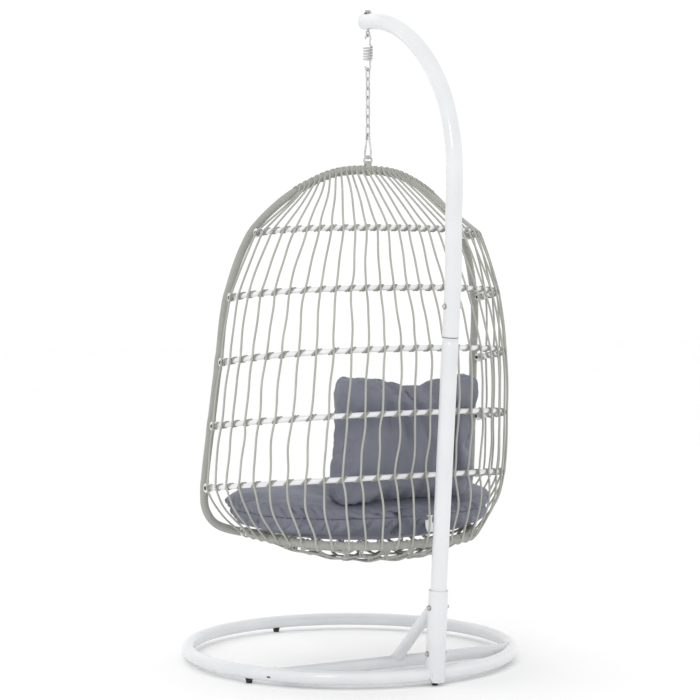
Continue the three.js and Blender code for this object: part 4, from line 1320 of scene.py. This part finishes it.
def build_seat_cushion():
    """Boxed pad made in its own frame (x, y, up from the seat loop's plane), then set in the basket."""
    half_z = PAD_THICK / 2
    shape = superform(PAD_X - 0.012, PAD_FRONT - 0.008, PAD_BACK - 0.012, half_z - 0.010, 2.6, 4.6, 0.07)
    cushion = piece("seat_cushion_cover", [shape], CLOTH)
    remesh(cushion)
    p = coords(cushion)
    seam = bell(p[:, 2] / (half_z - 0.010), 0.07) * ease((pad_radius(p, PAD_FRONT) - 0.82) / 0.1)
    inflate(cushion, seam, 0.014, -0.08)
    subdivide(cushion)
    low, high = [-PAD_X - 0.008, -PAD_FRONT, -half_z], [PAD_X + 0.008, PAD_BACK + 0.004, half_z]
    p = fit_box(coords(cushion), low, high)
    set_coords(cushion, p)
    n = coords(cushion, "normal")
    p = p + n * pad_gathers(p, n)[:, None]
    p[:, 1] += PAD_Y
    p[:, 2] += PAD_LOW + half_z
    settle_pad(p)
    finish_cushion(cushion, seat_frame(p), "seat_pad", "seat_cushion")
    return cushion


def pillow_folds(p, n):
    """How far the pillow's points move along their normals: folds on its back, puckers at its edge."""
    x, z = p[:, 0] / PILLOW_X, p[:, 2] / PILLOW_Z
    facing = ease(np.where(n[:, 1] > 0, 1.4, -0.35) * n[:, 1])
    deep = np.zeros(len(p))
    for at, lean, size, width, top, end in PILLOW_FOLDS:
        line = (x - at - lean * z - 0.03 * np.sin(z * 3 + at * 9)) / width
        along = ease((z - end) / 0.25) * ease((top - z) / 0.25)
        deep -= 1.5 * size * np.exp(-line ** 2) * along * facing
    for at, size in PILLOW_PUCKERS:
        deep -= size * bell(x - at, 0.045) * bell(np.abs(z) - 0.9, 0.2)
    return deep


def build_pillow():
    box_low, box_high = (np.array(v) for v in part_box("back_cushion"))
    half = np.array([PILLOW_X, PILLOW_Y, PILLOW_Z])
    shape = superform(PILLOW_X - 0.012, PILLOW_Y - 0.016, PILLOW_Y - 0.016, PILLOW_Z - 0.012, 5.0, 9.0, 0.0)
    pillow = piece("back_cushion_cover", [shape], CLOTH)
    remesh(pillow)
    p = coords(pillow)
    edge = np.maximum(np.abs(p[:, 0]) / (PILLOW_X - 0.012), np.abs(p[:, 2]) / (PILLOW_Z - 0.012))
    seam = bell(p[:, 1], 0.006) * ease((edge - 0.85) / 0.1)
    inflate(pillow, seam, 0.020, -0.07)
    subdivide(pillow)
    p = fit_box(coords(pillow), -half - [0, 0, PILLOW_DROP], half)
    set_coords(pillow, p)
    n = coords(pillow, "normal")
    p = p + n * pillow_folds(p, n)[:, None]
    x, z = p[:, 0] / PILLOW_X, p[:, 2] / PILLOW_Z
    upper = ease(z)
    p[:, 2] -= 0.026 * bell(x + 0.05, 0.34) * upper ** 2
    p[:, 2] += 0.012 * np.clip(np.abs(x) - 0.6, 0, 0.4) / 0.4 * upper - 0.008 * ease(-z) * x
    middle = (box_low + box_high) / 2
    finish_cushion(pillow, basket_direction(p) + middle, "pillow", "back_cushion")


def cushion_hits(cushion, angles, level):
    """Points on the seat cushion's side, and the way out of it, at a height above the seat loop's plane."""
    tree = BVHTree.FromPolygons([v.co for v in cushion.data.vertices],
                                [list(f.vertices) for f in cushion.data.polygons])
    height = np.full(len(angles), level)
    out = np.column_stack([0.62 * np.cos(angles), 0.10 + 0.50 * np.sin(angles), height])
    aim = np.column_stack([0.25 * np.cos(angles), 0.10 + 0.12 * np.sin(angles), height])
    found = []
    for start, target in zip(seat_frame(out), seat_frame(aim)):
        ray = Vector(target) - Vector(start)
        hit = tree.ray_cast(Vector(start), ray.normalized(), ray.length)
        if hit[0] is not None:
            found.append((np.array(hit[0]), -np.array(ray.normalized())))
    return found


def ribbon(name, start, down, across, out, size, curl):
    """A thin strip of cloth sewn on at its top edge, curling outwards."""
    rows, columns, thick = 14, 8, 0.0004
    width, length = size
    sides = []
    for lift in (0.0, thick):
        for r in range(rows):
            s = r / (rows - 1)
            bend = curl * s ** 2 + 0.0015 * math.sin(s * 7) + lift
            for k in range(columns):
                t = k / (columns - 1) - 0.5
                sides.append(start + down * length * (s - 0.12 * curl / 0.02 * s ** 3) + across * width * t
                             + out * (bend + 0.0012 * math.cos(t * 5 + s * 3)))
    n = rows * columns
    faces = []
    for r in range(rows - 1):
        for k in range(columns - 1):
            a, b = r * columns + k, (r + 1) * columns + k
            faces += [[a, a + 1, b + 1, b], [n + b, n + b + 1, n + a + 1, n + a]]
    last = (rows - 1) * columns
    edge = [*range(columns), *range(2 * columns - 1, n, columns), *range(n - 2, last - 1, -1),
            *range(last - columns, 0, -columns)]
    for a, b in zip(edge, edge[1:] + edge[:1]):
        faces.append([b, a, n + a, n + b])
    return piece(name, [(np.array(sides), faces, None)], LABEL, "seat_pad")


def build_strips(cushion):
    """The blank care label and the two tie tapes at the cushion's tucked corner."""
    down = basket_direction(np.array([0, 0, -1.0]))
    for name, at, level, size, curl in STRIPS:
        hits = cushion_hits(cushion, np.array([at - 0.02, at, at + 0.02]), WRAP_R + level)
        start, out = hits[1]
        across = unit(hits[2][0] - hits[0][0])
        strip = ribbon(name, start + out * 0.0012, down, across, out, size, curl)


def seat_seam(cushion):
    """The stitched seam half way up the boxed side: a thread line coloured darker than the cloth, which
    paints the shade of the seam's crease.
    """
    hits = cushion_hits(cushion, np.linspace(-0.1, np.pi + 0.1, 240), PAD_LOW + PAD_THICK / 2)
    line = np.array([point + out * 0.0001 for point, out in hits])
    piece("seat_cushion_seam", [sweep(catmull(line[::2], 500), 0.0008, 6, ref=Z)], SEAM_THREAD_AND_SHADE, "seat_pad")


# ---- floor and light ----
def build_stage():
    floor_mesh = bpy.data.meshes.new("floor")
    size = 30
    floor_mesh.from_pydata([(-size, -size, 0), (size, -size, 0), (size, size, 0), (-size, size, 0)], [],
                           [[0, 1, 2, 3]])
    n = Nodes("floor")
    n.link(n.ramp(n.noise(3, 2), (0.96, 0.96, 0.96), (0.975, 0.975, 0.975)), n.shader.inputs["Base Color"])
    n.shader.inputs["Roughness"].default_value = 0.9
    floor_mesh.materials.append(n.material)
    floor = bpy.data.objects.new("floor", floor_mesh)
    bpy.context.collection.objects.link(floor)
    floor.location.z = -0.0005
    bpy.context.scene.view_settings.view_transform = "Standard"
    world = bpy.data.worlds.new("studio")
    bpy.context.scene.world = world
    world.use_nodes = True
    world.node_tree.nodes["Background"].inputs["Color"].default_value = (1, 1, 1, 1)
    world.node_tree.nodes["Background"].inputs["Strength"].default_value = 1.03
    for name, place, size, power in LIGHTS:
        light = bpy.data.lights.new(name, "AREA")
        light.size = size
        light.energy = power
        lamp = bpy.data.objects.new(name, light)
        bpy.context.collection.objects.link(lamp)
        lamp.location = place
        lamp.rotation_euler = (Vector(LIGHT_AIM) - Vector(place)).to_track_quat("-Z", "Y").to_euler()


make_camera()
build_stage()
build_base()
build_pole()
cross_bolt("socket_1", pole_point(SOCKET_BOLTS_Z[0]), SOCKET_TUBE)
cross_bolt("socket_2", pole_point(SOCKET_BOLTS_Z[1]), SOCKET_TUBE)
cross_bolt("pole_joint", pole_point(JOINT_BOLT_Z), POLE_TUBE)
build_feet()
build_eye_bolt()
build_spring()
build_chain()
build_hook()
build_hanger_ring()
build_front_frame()
for hoop_index in range(6):
    build_hoop(hoop_index)
    build_pivot(hoop_index, 1)
    build_pivot(hoop_index, -1)
build_seat_wrap()
build_strands()
build_knots()
build_net()
seat_cushion = build_seat_cushion()
seat_seam(seat_cushion)
build_strips(seat_cushion)
build_pillow()
